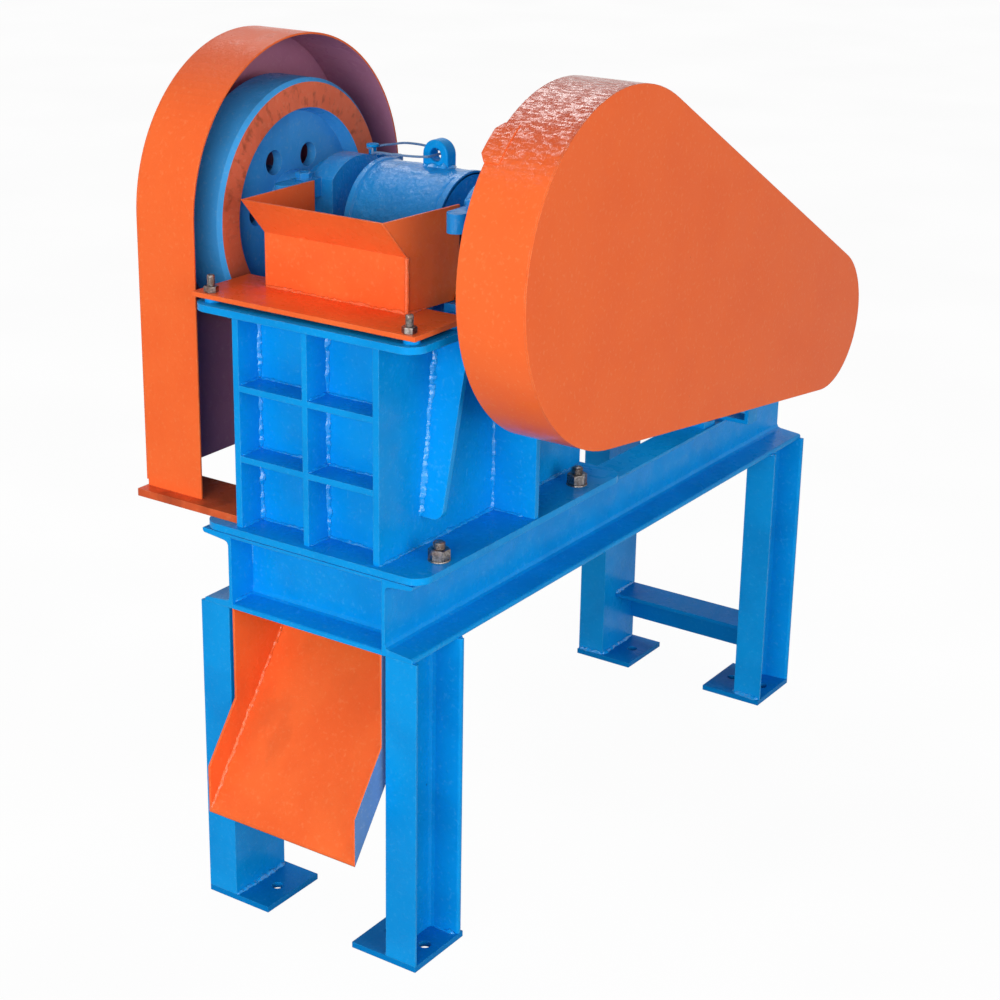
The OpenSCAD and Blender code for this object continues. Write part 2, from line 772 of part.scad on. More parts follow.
// Front arm with a cross strap inside the guard, and rear foot on the beam
module belt_guard_brackets() {
    bar = 6;
    arm_y = shaft_y - 104;
    foot_y = motor_y - 47;
    strap_w = 28;
    color(blue) {
        intersection() {
            loop(guard_x0 + 1, guard_x0 + 1 + bar, guard_r - sheet_t, guard_r_small - sheet_t, guard_drop);
            box([guard_x0, arm_y, 0], [guard_x1, arm_y + strap_w, shaft_z + guard_r]);
        }
        box([body_x, arm_y, body_top - bar], [guard_x0 + 1, arm_y + strap_w, body_top]);
        box([beam_x + 4, foot_y, stand_h], [guard_x0, foot_y + strap_w, stand_h + bar]);
        box([guard_x0 - bar, foot_y, stand_h + bar], [guard_x0, foot_y + strap_w, motor_z - 40]);
    }
}

// ---- motor ----

motor_x0 = -70;
motor_x1 = guard_x0 - 20;

module motor_frame() {
    color(blue) difference() {
        union() {
            translate([0, motor_y, motor_z]) {
                rod_x(motor_x0, motor_x1 - 30, motor_r);
                rod_x(motor_x1 - 30, motor_x1 - 12, motor_r - 14);
                rod_x(motor_x1 - 12, motor_x1, motor_r - 40);
            }
            for (x = [0, 130]) box([x, motor_y - 95, motor_z - motor_h], [x + 36, motor_y + 95, motor_z - motor_h + 14]);
            for (x = [6, 136]) box([x, motor_y - 75, motor_z - motor_h + 13], [x + 24, motor_y + 75, motor_z - 40]);
        }
        translate([0, motor_y, motor_z]) rod_x(motor_x1 - 45, motor_x1 + 1, motor_shaft_r + running_fit);
    }
}

module motor_fan_cover() {
    color(blue) translate([0, motor_y, motor_z]) {
        rod_x(motor_x0 - 62, motor_x0, motor_r + 2);
        rod_x(motor_x0 - 70, motor_x0 - 62, motor_r - 12);
    }
}

module motor_terminal_box() {
    color(blue) difference() {
        box([30, motor_y - 42, motor_z + motor_r - 14], [120, motor_y + 42, motor_z + motor_r + 34]);
        translate([0, motor_y, motor_z]) rod_x(20, 130, motor_r);
    }
}

// Two channel bars across the beams, with their backs outwards
module motor_bars() {
    spread = 85;
    color(blue) for (side = [0, 1]) translate([0, motor_y, 0]) mirror([0, side, 0])
        slab_x(-beam_x - 42, beam_x + 42) translate([-spread - bar_b / 2, stand_h])
            channel_2d(bar_h, bar_b, 4.4, 7);
}

// ---- chute ----

chute_y0 = front - chute_reach;
chute_top_z = stand_h - 5;
chute_run = (chute_top_z - chute_lip_z) / tan(chute_slope);

// Strip that follows the chute floor, between two heights above its underside
module chute_strip_2d(low, high) {
    polygon([[chute_y0, chute_lip_z + low], [chute_y0 + chute_run, chute_top_z + low],
        [chute_y0 + chute_run, chute_top_z + high], [chute_y0, chute_lip_z + high]]);
}

module chute_clip_2d() {
    translate([chute_y0, chute_lip_z]) square([chute_run, chute_top_z - chute_lip_z]);
}

module chute_floor() {
    color(orange) slab_x(-beam_x + chute_t, beam_x - chute_t) intersection() {
        chute_strip_2d(0, chute_t / cos(chute_slope));
        chute_clip_2d();
    }
}

// Sides that rise straight from their slope at the posts to the front beam
module chute_sides() {
    rise = tan(chute_slope);
    under_z = stand_h - channel_h;
    edge_z = chute_lip_z + chute_side_h;
    color(orange) both_sides() slab_x(beam_x - chute_t, beam_x) polygon([[chute_y0, chute_lip_z],
        [chute_y0 + chute_run, chute_top_z], [chute_y0 + chute_run - chute_side_h / rise, chute_top_z],
        [chute_y0 + (under_z - edge_z) / rise, under_z], [front, under_z],
        [front, edge_z + (front - chute_y0) * rise], [chute_y0, edge_z]]);
}

beam_left();
beam_right();
beam_front();
beam_rear();
posts_front();
posts_rear();
foot_plates();
rear_brace();
base_flange();
side_plate_left();
side_plate_right();
front_wall();
front_ribs();
side_ribs();
top_flange();
toggle_block();
toggle_plate();
fixed_jaw_plate();
swing_jaw();
swing_jaw_plate();
lifting_lug();
lifting_wire();
housing_left();
housing_right();
wire_stud();
eccentric_shaft();
flywheel();
crusher_pulley();
hopper_plate();
hopper_front();
hopper_sides();
hopper_spacers();
flywheel_guard_band();
flywheel_guard_side();
flywheel_guard_feet();
belt_guard_band();
belt_guard_face();
belt_guard_brackets();
v_belts();
motor_pulley();
motor_frame();
motor_fan_cover();
motor_terminal_box();
motor_bars();
chute_floor();
chute_sides();
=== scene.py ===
"""Looks of the laboratory jaw crusher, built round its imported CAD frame.

Sizes are in millimetres until a mesh is made, and X, Y and Z are those of the frame.
"""

import logging
import math
from dataclasses import dataclass
from enum import Enum
from functools import cached_property
from typing import Callable, Sequence

import bmesh
import bpy
from mathutils import Matrix, Vector, noise


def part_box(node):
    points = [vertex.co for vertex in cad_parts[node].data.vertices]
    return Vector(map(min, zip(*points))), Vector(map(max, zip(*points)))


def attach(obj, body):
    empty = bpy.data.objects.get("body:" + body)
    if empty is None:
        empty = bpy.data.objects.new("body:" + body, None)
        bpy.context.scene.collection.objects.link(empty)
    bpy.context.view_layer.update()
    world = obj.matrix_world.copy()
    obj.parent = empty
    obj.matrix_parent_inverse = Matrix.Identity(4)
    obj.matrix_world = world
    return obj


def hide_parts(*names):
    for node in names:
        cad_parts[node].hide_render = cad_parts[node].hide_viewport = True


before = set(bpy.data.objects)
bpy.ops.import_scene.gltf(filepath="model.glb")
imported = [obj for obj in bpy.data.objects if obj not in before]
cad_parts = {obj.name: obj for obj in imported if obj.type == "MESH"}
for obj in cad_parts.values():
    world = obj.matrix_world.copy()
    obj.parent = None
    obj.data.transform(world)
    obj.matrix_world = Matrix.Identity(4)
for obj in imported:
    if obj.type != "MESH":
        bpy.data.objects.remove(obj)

LOG = logging.getLogger("jaw_crusher")
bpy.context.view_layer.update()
MM = 0.001
SMOOTH_ANGLE = math.radians(38)
X_AXIS, Y_AXIS, Z_AXIS = Vector((1, 0, 0)), Vector((0, 1, 0)), Vector((0, 0, 1))
SIDES = (-1, 1)

FRAME_BODY, JAW_BODY = "frame", "swing_jaw_body"

Spot = Sequence[float]
Node = bpy.types.Node
Wire = bpy.types.Node | bpy.types.NodeSocket | float | Sequence[float]


class Slot(Enum):
    """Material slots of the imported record."""

    BLUE = "blue_enamel"
    ORANGE = "orange_enamel"
    STEEL = "bare_steel"
    RUBBER = "belt_rubber"


# ---------------------------------------------------------------- geometry helpers


@dataclass(frozen=True)
class CadBox:
    """Lowest and highest corner of a CAD node, in millimetres."""

    low: Vector
    high: Vector

    @classmethod
    def of(cls, node: str) -> "CadBox":
        """Reads the box of a CAD node at rest."""
        low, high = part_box(node)
        return cls(Vector(low) / MM, Vector(high) / MM)

    @property
    def mid(self) -> Vector:
        """Middle of the box."""
        return (self.low + self.high) / 2


def circle(steps: int) -> list[float]:
    """Gives the angles of equal steps round a circle, in radians."""
    return [2 * math.pi * k / steps for k in range(steps)]


class Shape:
    """A mesh in the making, in millimetres."""

    def __init__(self) -> None:
        """Starts with nothing in it."""
        self.points: list[Vector] = []
        self.faces: list[tuple[int, ...]] = []

    def add(self, points: Sequence[Vector], faces: Sequence[Sequence[int]]) -> None:
        """Adds points, and faces that count from the first of them.

        Args:
            points: New points.
            faces: Faces as indices into points.
        """
        base = len(self.points)
        self.points.extend(Vector(p) for p in points)
        self.faces.extend(tuple(base + i for i in f) for f in faces)

    def join(self, other: "Shape", place: Matrix) -> None:
        """Adds another shape, moved into place."""
        self.add([place @ p for p in other.points], other.faces)

    def rings(self, rings: Sequence[Sequence[Vector]], closed: bool = False) -> None:
        """Joins rings of equal length into a skin, with caps unless it is closed.

        Args:
            rings: The rings in order.
            closed: True where the last ring meets the first.
        """
        n = len(rings[0])
        faces = []
        for r in range(len(rings) if closed else len(rings) - 1):
            a, b = r * n, ((r + 1) % len(rings)) * n
            faces += [(a + k, a + (k + 1) % n, b + (k + 1) % n, b + k) for k in range(n)]
        if not closed:
            last = (len(rings) - 1) * n
            faces += [tuple(reversed(range(n))), tuple(last + k for k in range(n))]
        self.add([p for ring in rings for p in ring], faces)

    def turned(self, profile: Sequence[tuple[float, float]], steps: int) -> None:
        """Adds a closed profile of radius and height, turned about the Z axis.

        Args:
            profile: Pairs of radius and height that go once round the section.
            steps: Steps round the turn.
        """
        self.rings([[Vector((r * math.cos(t), r * math.sin(t), z)) for r, z in profile]
                    for t in circle(steps)], closed=True)

    def rod(self, start: Vector, end: Vector, radius: float, sides: int = 8) -> None:
        """Adds a short round rod.

        Args:
            start: Middle of one end.
            end: Middle of the other end.
            radius: Radius of the rod.
            sides: Sides of its section.
        """
        along = (end - start).normalized()
        side, rings = along.orthogonal(), []
        for p in (start, end):
            side = (side - along * side.dot(along)).normalized()
            up = along.cross(side)
            rings.append([p + radius * (math.cos(t) * side + math.sin(t) * up) for t in circle(sides)])
        self.rings(rings)


def axis_place(at: Spot, axis: Vector, turn: float = 0.0) -> Matrix:
    """Gives the matrix that puts local Z along an axis at a point.

    Args:
        at: The point.
        axis: Where local Z goes.
        turn: Turn about the axis, in degrees.

    Returns:
        The placing matrix.
    """
    aim = Vector(axis).to_track_quat("Z", "Y").to_matrix().to_4x4()
    return Matrix.Translation(Vector(at)) @ aim @ Matrix.Rotation(math.radians(turn), 4, "Z")


def put(name: str, shape: Shape, paint: bpy.types.Material, slot: Slot, body: str = FRAME_BODY,
        chamfer: float = 0.0, stands_for: Sequence[str] = ()) -> bpy.types.Object:
    """Turns a shape into a piece that rides on a CAD body.

    Args:
        name: Name of the piece.
        shape: Its mesh, in millimetres.
        paint: Its material.
        slot: The record's material slot; not used.
        body: The CAD body it moves with.
        chamfer: Width of the rounding on its edges, in millimetres.
        stands_for: CAD nodes that it replaces.

    Returns:
        The new object.
    """
    mesh = bpy.data.meshes.new(name)
    mesh.from_pydata([p * MM for p in shape.points], [], shape.faces)
    work = bmesh.new()
    work.from_mesh(mesh)
    bmesh.ops.remove_doubles(work, verts=work.verts, dist=1e-6)
    bmesh.ops.recalc_face_normals(work, faces=work.faces)
    for face in work.faces:
        face.smooth = True
    work.to_mesh(mesh)
    work.free()
    mesh.set_sharp_from_angle(angle=SMOOTH_ANGLE)
    mesh.materials.append(paint)
    piece = bpy.data.objects.new(name, mesh)
    bpy.context.scene.collection.objects.link(piece)
    if chamfer:
        edge = piece.modifiers.new("edge", "BEVEL")
        edge.width, edge.segments = chamfer * MM, 2
        edge.limit_method, edge.angle_limit = "ANGLE", SMOOTH_ANGLE
        edge.harden_normals = True
    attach(piece, body)
    if stands_for:
        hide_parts(*stands_for)
    LOG.info("%s: %d faces on %s", name, len(mesh.polygons), body)
    return piece


def dress(paint: bpy.types.Material, *nodes: str) -> None:
    """Gives CAD nodes a material.

    Args:
        paint: The material.
        nodes: Names of the CAD nodes.
    """
    for node in nodes:
        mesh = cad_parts[node].data
        mesh.materials.clear()
        mesh.materials.append(paint)
        LOG.info("%s: dressed in %s", node, paint.name)


# ---------------------------------------------------------------- materials


def linear(colour: str) -> tuple[float, float, float, float]:
    """Turns an sRGB hex value into a linear colour.

    Args:
        colour: Six hex digits after a hash sign.

    Returns:
        Linear red, green, blue and an alpha of one.
    """
    parts = [int(colour[i:i + 2], 16) / 255 for i in (1, 3, 5)]
    r, g, b = (c / 12.92 if c <= 0.04045 else ((c + 0.055) / 1.055) ** 2.4 for c in parts)
    return r, g, b, 1.0


def per_mm(size: float) -> float:
    """Gives the texture scale at which one feature is about that many millimetres."""
    return 1.0 / (size * MM)


# Borders of every mask are soft.
SOFT = {"interpolation_type": "SMOOTHSTEP"}
WHITE = (1, 1, 1, 1)


class Shader:
    """Node tree of one material or of the world, in the making."""

    def __init__(self, owner: bpy.types.Material | bpy.types.World) -> None:
        """Starts with an empty tree."""
        owner.use_nodes = True
        self.tree = owner.node_tree
        self.tree.nodes.clear()

    def node(self, kind: str, wires: dict | Sequence = (), **settings: object) -> Node:
        """Adds a node with its settings and links.

        Args:
            kind: The node's type, without its ShaderNode prefix.
            wires: What goes into its inputs, by name or number, or in order. Of a node, this is the
                first output that it uses.
            settings: Properties of the node itself.

        Returns:
            The new node.
        """
        made = self.tree.nodes.new("ShaderNode" + kind)
        for key, value in settings.items():
            setattr(made, key, value)
        for key, value in (wires if isinstance(wires, dict) else dict(enumerate(wires))).items():
            if isinstance(value, Node):
                value = next(socket for socket in value.outputs if socket.enabled)
            if isinstance(value, bpy.types.NodeSocket):
                self.tree.links.new(value, made.inputs[key])
            else:
                made.inputs[key].default_value = value
        return made

    @cached_property
    def where(self) -> Wire:
        """The object's own coordinates."""
        return self.node("TexCoord").outputs["Object"]

    def grain(self, size: float, stretch: Spot = (1, 1, 1), detail: float = 2.0) -> Node:
        """Adds noise with features of a real size.

        Args:
            size: Size of a feature, in millimetres.
            stretch: How much longer the features are along each axis.
            detail: Octaves of finer noise.

        Returns:
            The noise value, about 0.3 to 0.7.
        """
        scaled = self.node("Mapping", {"Vector": self.where, "Scale": [1 / s for s in stretch]})
        return self.node("TexNoise", {"Vector": scaled, "Scale": per_mm(size), "Detail": detail})

    def patches(self, size: float, low: float, high: float, bare: float = 0.0, full: float = 1.0,
                stretch: Spot = (1, 1, 1), detail: float = 3.0) -> Node:
        """Masks patches of a real size.

        Args:
            size: Size of a patch, in millimetres.
            low: Noise value where a patch begins.
            high: Noise value from which it is full.
            bare: Result between the patches.
            full: Result in a full patch.
            stretch: How much longer the patches are along each axis.
            detail: Octaves of finer noise.

        Returns:
            The mask.
        """
        return self.node("MapRange", [self.grain(size, stretch, detail), low, high, bare, full], **SOFT)

    def overlap(self, mask: Wire, *others: Wire) -> Wire:
        """Multiplies masks, which leaves what all of them cover.

        Args:
            mask: The first mask.
            others: The rest.

        Returns:
            The product.
        """
        for other in others:
            mask = self.node("Math", [mask, other], operation="MULTIPLY")
        return mask

    def layers(self, base: Wire, *coats: tuple[Wire, Wire | str]) -> Wire:
        """Lays colours over a base, each where its mask is one.

        Args:
            base: Colour underneath.
            coats: Mask and colour of each layer, from below.

        Returns:
            The colour on top.
        """
        for mask, colour in coats:
            top = linear(colour) if isinstance(colour, str) else colour
            base = self.node("Mix", {0: mask, 6: base, 7: top}, data_type="RGBA")
        return base

    def dents(self, under: Wire, size: float, depth: float, stretch: Spot = (1, 1, 1),
              detail: float = 2.0) -> Node:
        """Dents the surface.

        Args:
            under: Normal of the surface.
            size: Size of a dent, in millimetres.
            depth: Its depth, in millimetres.
            stretch: How much longer the dents are along each axis.
            detail: Octaves of finer noise.

        Returns:
            The new normal.
        """
        height = self.grain(size, stretch, detail)
        return self.node("Bump", {"Height": height, "Distance": depth * MM, "Normal": under})

    def rounded(self, radius: float) -> tuple[Node, Node]:
        """Rounds the edges in the shading.

        Args:
            radius: Radius of the rounding, in millimetres.

        Returns:
            The rounded normal, and a mask that is one on edges.
        """
        soft = self.node("Bevel", {"Radius": radius * MM}, samples=4)
        flat = self.node("NewGeometry").outputs["Normal"]
        same = self.node("VectorMath", [soft, flat], operation="DOT_PRODUCT")
        return soft, self.node("MapRange", [same, 0.98, 0.80], **SOFT)

    def seen(self) -> Wire:
        """Finds the rays that see white: straight, off gloss or through glass.

        Returns:
            A mask that is one for those rays.
        """
        rays = self.node("LightPath").outputs
        found = rays["Is Camera Ray"]
        for ray in ("Is Glossy Ray", "Is Transmission Ray"):
            found = self.node("Math", [found, rays[ray]], operation="MAXIMUM")
        return found

    def surface(self, **wires: Wire) -> None:
        """Adds the surface, whose inputs are named with underscores for spaces, and the output."""
        named = {key.replace("_", " "): value for key, value in wires.items()}
        self.node("OutputMaterial", {"Surface": self.node("BsdfPrincipled", named)})


class Finish:
    """A material of the object or of the studio."""

    name: str

    def fill(self, shader: Shader) -> None:
        """Wires the material. Each finish has its own."""
        raise NotImplementedError

    def build(self) -> bpy.types.Material:
        """Makes the material.

        Returns:
            The finished material.
        """
        material = bpy.data.materials.new(self.name)
        self.fill(Shader(material))
        return material


@dataclass(frozen=True)
class Coat:
    """Colours of one enamel, as sRGB hex."""

    full: str
    thick: str
    thin: str
    dirt: str


# Signal blue and red-orange alkyd enamels. Thick coats are deeper, thin ones paler; on edges the pale colour
# is partly thin paint and partly a painted highlight.
BLUE_COAT = Coat("#049AE8", "#0388D4", "#4CB8F2", "#12406C")
ORANGE_COAT = Coat("#FC7036", "#F2602C", "#FF9660", "#7E3A22")
# The foot plates and the brace, low and at the rear, take a darker blue: painted shade.
SHADED_LOW_COAT = Coat("#0280CC", "#0270B8", "#3CA0DC", "#12406C")
# The hoop's feet take a darker, browner orange: painted shade under the hoop, with stains.
STAINED_SHADED_COAT = Coat("#E06032", "#A8442A", "#F08A58", "#5A2A20")
# The flywheel's blue is older, and dust greys it and the orange brushed on its ring.
DUSTY_COAT = Coat("#44A6EC", "#3A94DA", "#84BCE8", "#1C3A5C")
RING_COAT = Coat("#F07450", "#E06442", "#F29C78", "#7E3A22")
# The jaw casting's blue is thick, dark in the pores and greyed by handling.
CAST_COAT = Coat("#1C90E0", "#1A80CE", "#68B0E0", "#143A62")
# A paler, greyer blue for the chute's outer faces.
PALE_GREY_BLUE_COAT = Coat("#6890C4", "#5A82B8", "#A8C0DE", "#2A4A78")
# Painted shade inside the guards: a mauve-brown for their shaded inner faces.
INSIDE_SHADE_COAT = Coat("#C07E98", "#A66C86", "#D2A0B2", "#5C3848")
# Old wire, brushed over thinly with blue so that the zinc greys it.
WIRE_COAT = Coat("#6488B2", "#4C74A2", "#9CB6CE", "#34465C")


@dataclass(frozen=True)
class Enamel(Finish):
    """Alkyd enamel, rolled and brushed on mill-scaled steel: glossy, with orange peel and brush waves."""

    name: str
    coat: Coat
    roughness: float = 0.3
    peel: float = 0.14
    wave: float = 0.2
    lump: float = 0.0
    stain: float = 0.0
    gloss: float = 0.1
    cloud: float = 0.55

    def colour(self, shader: Shader, edge: Wire, coat: Coat) -> Wire:
        """Lays one coat: clouds of thick paint, pale flecks, pale edges that are thin paint and a painted
        highlight, dark specks and smears.

        Args:
            shader: The material in the making.
            edge: Mask that is one on edges.
            coat: The enamel's colours.

        Returns:
            The colour.
        """
        layers = [(shader.patches(90, 0.38, 0.68, 0.0, self.cloud), coat.thick),
                  (shader.patches(5, 0.55, 0.75, 0.0, 0.30), coat.thin),
                  # Pale edges: partly thin paint, partly a painted highlight.
                  (shader.overlap(edge, shader.patches(9, 0.35, 0.65, 0.15, 0.95)), coat.thin),
                  (shader.patches(14, 0.76, 0.80, 0.0, 0.8, detail=4), coat.dirt)]
        if self.stain:
            layers.append((shader.patches(60, 0.52, 0.78, 0.0, self.stain, (1, 1, 3), 4), coat.dirt))
        return shader.layers(linear(coat.full), *layers)

    def relief(self, shader: Shader, under: Wire) -> Wire:
        """Adds brush waves, orange peel and lumps.

        Args:
            shader: The material in the making.
            under: Normal of the bare sheet.

        Returns:
            Normal of the paint.
        """
        normal = shader.dents(under, 34, self.wave, (1, 1, 2.5))
        if self.lump:
            normal = shader.dents(normal, 8, self.lump, detail=3)
        # Peel is under a millimetre on the real paint, and is drawn at 5 mm so that it shows.
        return shader.dents(normal, 5, self.peel)

    def shine(self, shader: Shader, under: Wire) -> Wire:
        """Gives the strength of the gloss. Finishes that shine unevenly override this."""
        return self.gloss

    def paint(self, shader: Shader, edge: Wire) -> Wire:
        """Gives the colour of the whole surface. Two-colour finishes override this."""
        return self.colour(shader, edge, self.coat)

    def fill(self, shader: Shader) -> None:
        """Wires the enamel.

        Args:
            shader: The material in the making.
        """
        soft, edge = shader.rounded(1.4)
        rough = shader.patches(22, 0.3, 0.7, self.roughness - 0.07, self.roughness + 0.09, detail=2)
        shader.surface(Base_Color=self.paint(shader, edge), Roughness=rough,
                       Specular_IOR_Level=self.shine(shader, soft), Normal=self.relief(shader, soft))


@dataclass(frozen=True)
class ChuteEnamel(Enamel):
    """Chute sheet, sprayed orange inside and brushed blue outside."""

    second: Coat = BLUE_COAT

    def paint(self, shader: Shader, edge: Wire) -> Wire:
        """Paints blue the faces that look out or down, and the rest orange.

        Args:
            shader: The material in the making.
            edge: Mask that is one on edges.

        Returns:
            The colour.
        """
        facing = shader.node("SeparateXYZ", [shader.node("NewGeometry").outputs["Normal"]]).outputs
        side = shader.overlap(shader.node("SeparateXYZ", [shader.where]).outputs["X"], facing["X"])
        outside = shader.node("Math", [shader.node("MapRange", [side, 0.02, 0.05], **SOFT),
                                       shader.node("MapRange", [facing["Z"], -0.1, -0.3], **SOFT)],
                              operation="MAXIMUM")
        return shader.layers(self.colour(shader, edge, self.coat),
                             (outside, self.colour(shader, edge, self.second)))


@dataclass(frozen=True)
class GuardEnamel(Enamel):
    """Guard sheet: brushed orange outside, with painted shade: darker red on its crown and mauve-brown on its
    inner faces.
    """

    # Colours of the painted shade inside the guards.
    inside_shade: Coat = INSIDE_SHADE_COAT
    axis: tuple[float, float] = (0.0, 0.0)
    sheet_x: float = 275.0
    top_gloss: float = 0.2
    # Darker red painted on the upper faces as painted shade, and how much of it.
    crown_shade: str = "#9C3826"
    crown_shade_share: float = 0.4
    streak: float = 0.0

    def shine(self, shader: Shader, under: Wire) -> Wire:
        """Makes the upper faces glossier than the rest, broken into streaks.

        Args:
            shader: The material in the making.
            under: Normal of the bare sheet.

        Returns:
            Strength of the gloss.
        """
        high = shader.node("SeparateXYZ", [under]).outputs["Z"]
        broken = shader.patches(4.2, 0.49, 0.57, 1 - self.streak, 1.0, (2.8, 1, 1), 5)
        rise = shader.overlap(broken, self.top_gloss, shader.node("MapRange", [high, 0.5, 0.92], **SOFT))
        return shader.node("Math", [rise, self.gloss], operation="MAXIMUM")

    def paint(self, shader: Shader, edge: Wire) -> Wire:
        """Paints shade in mauve-brown on faces that look at the shaft and on the side sheets' inner faces,
        and in darker red on the upper faces.

        Args:
            shader: The material in the making.
            edge: Mask that is one on edges.

        Returns:
            The colour.
        """
        facing = shader.node("NewGeometry").outputs["True Normal"]
        centre = (0, self.axis[0] * MM, self.axis[1] * MM)
        reach = shader.node("VectorMath", [shader.where, centre], operation="SUBTRACT")
        reach = shader.node("VectorMath", [reach, (0, 1, 1)], operation="MULTIPLY")
        outward = shader.node("VectorMath", [reach, facing], operation="DOT_PRODUCT")
        inward = shader.node("MapRange", [outward, -0.01, -0.03], **SOFT)
        aim = shader.node("SeparateXYZ", [facing]).outputs
        across = shader.overlap(shader.node("SeparateXYZ", [shader.where]).outputs["X"], aim["X"])
        behind = shader.node("MapRange", [across, -self.sheet_x * MM, -(self.sheet_x + 4) * MM], **SOFT)
        # Painted shade: the inner faces take the mauve-brown.
        inside = shader.node("Math", [inward, behind], operation="MAXIMUM")
        # Painted shade: the upper faces turn darker red.
        crown_shade = shader.node("MapRange", [aim["Z"], 0.55, 0.96, 0.0, self.crown_shade_share], **SOFT)
        return shader.layers(self.colour(shader, edge, self.coat), (crown_shade, self.crown_shade),
                             (inside, self.colour(shader, edge, self.inside_shade)))

    def relief(self, shader: Shader, under: Wire) -> Wire:
        """Adds brush waves and a coarse stipple, strongest on the upper faces, where paint sagged least.

        Args:
            shader: The material in the making.
            under: Normal of the bare sheet.

        Returns:
            Normal of the paint.
        """
        high = shader.node("SeparateXYZ", [under]).outputs["Z"]
        top = shader.node("MapRange", [high, 0.2, 0.75], **SOFT)
        # The stipple's dimples are 3 mm wide, and are drawn at 4.5 mm so that they show.
        dimple = shader.overlap(shader.grain(4.5, detail=3), top)
        normal = shader.dents(under, 34, self.wave, (1, 1, 2.5))
        return shader.node("Bump", {"Height": dimple, "Distance": self.peel * 9 * MM, "Normal": normal})


@dataclass(frozen=True)
class WheelEnamel(Enamel):
    """Flywheel enamel: blue, with the rim's machined side brushed orange by hand and soiled at the top."""

    second: Coat = RING_COAT
    axis: tuple[float, float] = (0.0, 0.0)
    ring_in: float = 128.0
    ring_out: float = 162.5
    border: float = 0.6
    brown: str = "#94432C"
    olive: str = "#8A8A5C"

    def paint(self, shader: Shader, edge: Wire) -> Wire:
        """Paints orange between two radii, with an uneven border, radial smears and a mixed seam.

        Args:
            shader: The material in the making.
            edge: Mask that is one on edges.

        Returns:
            The colour.
        """
        spot = shader.node("SeparateXYZ", [shader.where]).outputs
        dy = shader.node("Math", [spot["Y"], self.axis[0] * MM], operation="SUBTRACT")
        dz = shader.node("Math", [spot["Z"], self.axis[1] * MM], operation="SUBTRACT")
        far = shader.node("VectorMath", [shader.node("CombineXYZ", [dy, dz])], operation="LENGTH")
        wobble = shader.patches(30, 0.3, 0.7, -0.9 * MM, 0.9 * MM)
        ragged = shader.node("Math", [far, wobble], operation="ADD")
        inner, outer = (shader.node("MapRange", [reach, (r - rise) * MM, (r + rise) * MM], **SOFT)
                        for reach, r, rise in ((far, self.ring_in, self.border),
                                               (ragged, self.ring_out, -self.border)))
        facing = shader.node("SeparateXYZ", [shader.node("NewGeometry").outputs["True Normal"]])
        across = shader.node("Math", [facing], operation="ABSOLUTE")
        flank = shader.node("MapRange", [across, 0.8, 0.95], **SOFT)
        angle = shader.node("Math", [dz, dy], operation="ARCTAN2")
        polar = shader.node("CombineXYZ", [angle, shader.overlap(far, 4.0)])
        streak = shader.node("TexNoise", {"Vector": polar, "Scale": 14.0, "Detail": 4.0})
        smear = shader.overlap(shader.node("MapRange", [streak, 0.50, 0.74, 0.0, 0.6], **SOFT),
                               shader.node("MapRange", [dz, -60 * MM, 90 * MM, 0.25, 1.0], **SOFT))
        low = shader.node("MapRange", [dz, 20 * MM, -130 * MM, 0.0, 0.55], **SOFT)
        orange = shader.layers(self.colour(shader, edge, self.second), (low, self.brown),
                               (smear, self.second.dirt))
        seam = shader.node("Math", [far, self.ring_out * MM], operation="SUBTRACT")
        seam = shader.node("Math", [seam], operation="ABSOLUTE")
        seam = shader.node("MapRange", [seam, 2.2 * MM, 0.8 * MM, 0.0, 0.7], **SOFT)
        return shader.layers(self.colour(shader, edge, self.coat),
                             (shader.overlap(inner, outer, flank), orange),
                             (shader.overlap(seam, flank), self.olive))


@dataclass(frozen=True)
class Steel(Finish):
    """Bare steel or cast iron: the greys of its surface, its grain and a film of rust or oil."""

    name: str
    bright: str
    dull: str
    rust: str
    roughness: float
    rust_amount: float
    grain_size: float
    stretch: tuple[float, float, float] = (1, 1, 1)
    depth: float = 0.05

    def fill(self, shader: Shader) -> None:
        """Wires the metal.

        Args:
            shader: The material in the making.
        """
        soft, edge = shader.rounded(0.5)
        fine = shader.grain(self.grain_size, self.stretch, 4)
        rusty = shader.patches(11, 0.62 - 0.25 * self.rust_amount, 0.74, 0.0, 0.85, detail=5)
        shade = shader.node("MapRange", [fine, 0.3, 0.7], **SOFT)
        base = shader.layers(linear(self.dull), (shade, self.bright), (rusty, self.rust), (edge, self.bright))
        metal = shader.node("MapRange", [rusty, 0.1, 0.6, 1.0, 0.2], **SOFT)
        rough = shader.node("MapRange", [rusty, 0.0, 0.8, self.roughness, 0.7], **SOFT)
        normal = shader.node("Bump", {"Height": fine, "Distance": self.depth * MM, "Normal": soft})
        shader.surface(Base_Color=base, Metallic=metal, Roughness=rough, Normal=normal)


@dataclass(frozen=True)
class BeltRubber(Finish):
    """Wrapped V-belt: black rubber with a woven cover that gives a fine matt cross-hatch."""

    name: str = "belt wrapped in rubbered cloth"

    def fill(self, shader: Shader) -> None:
        """Wires the rubber.

        Args:
            shader: The material in the making.
        """
        # The cover's threads are 0.8 mm apart, and are drawn at 2.4 mm so that they show.
        weave = shader.node("TexWave", {"Vector": shader.where, "Scale": per_mm(2.4) / 20, "Distortion": 0.4},
                            wave_type="BANDS", bands_direction="DIAGONAL").outputs["Fac"]
        dust = shader.patches(40, 0.45, 0.75, 0.0, 0.5, detail=4)
        shader.surface(Base_Color=shader.layers(linear("#1B1B1D"), (dust, "#4B4845")), Roughness=0.78,
                       Normal=shader.node("Bump", {"Height": weave, "Distance": 0.15 * MM}))


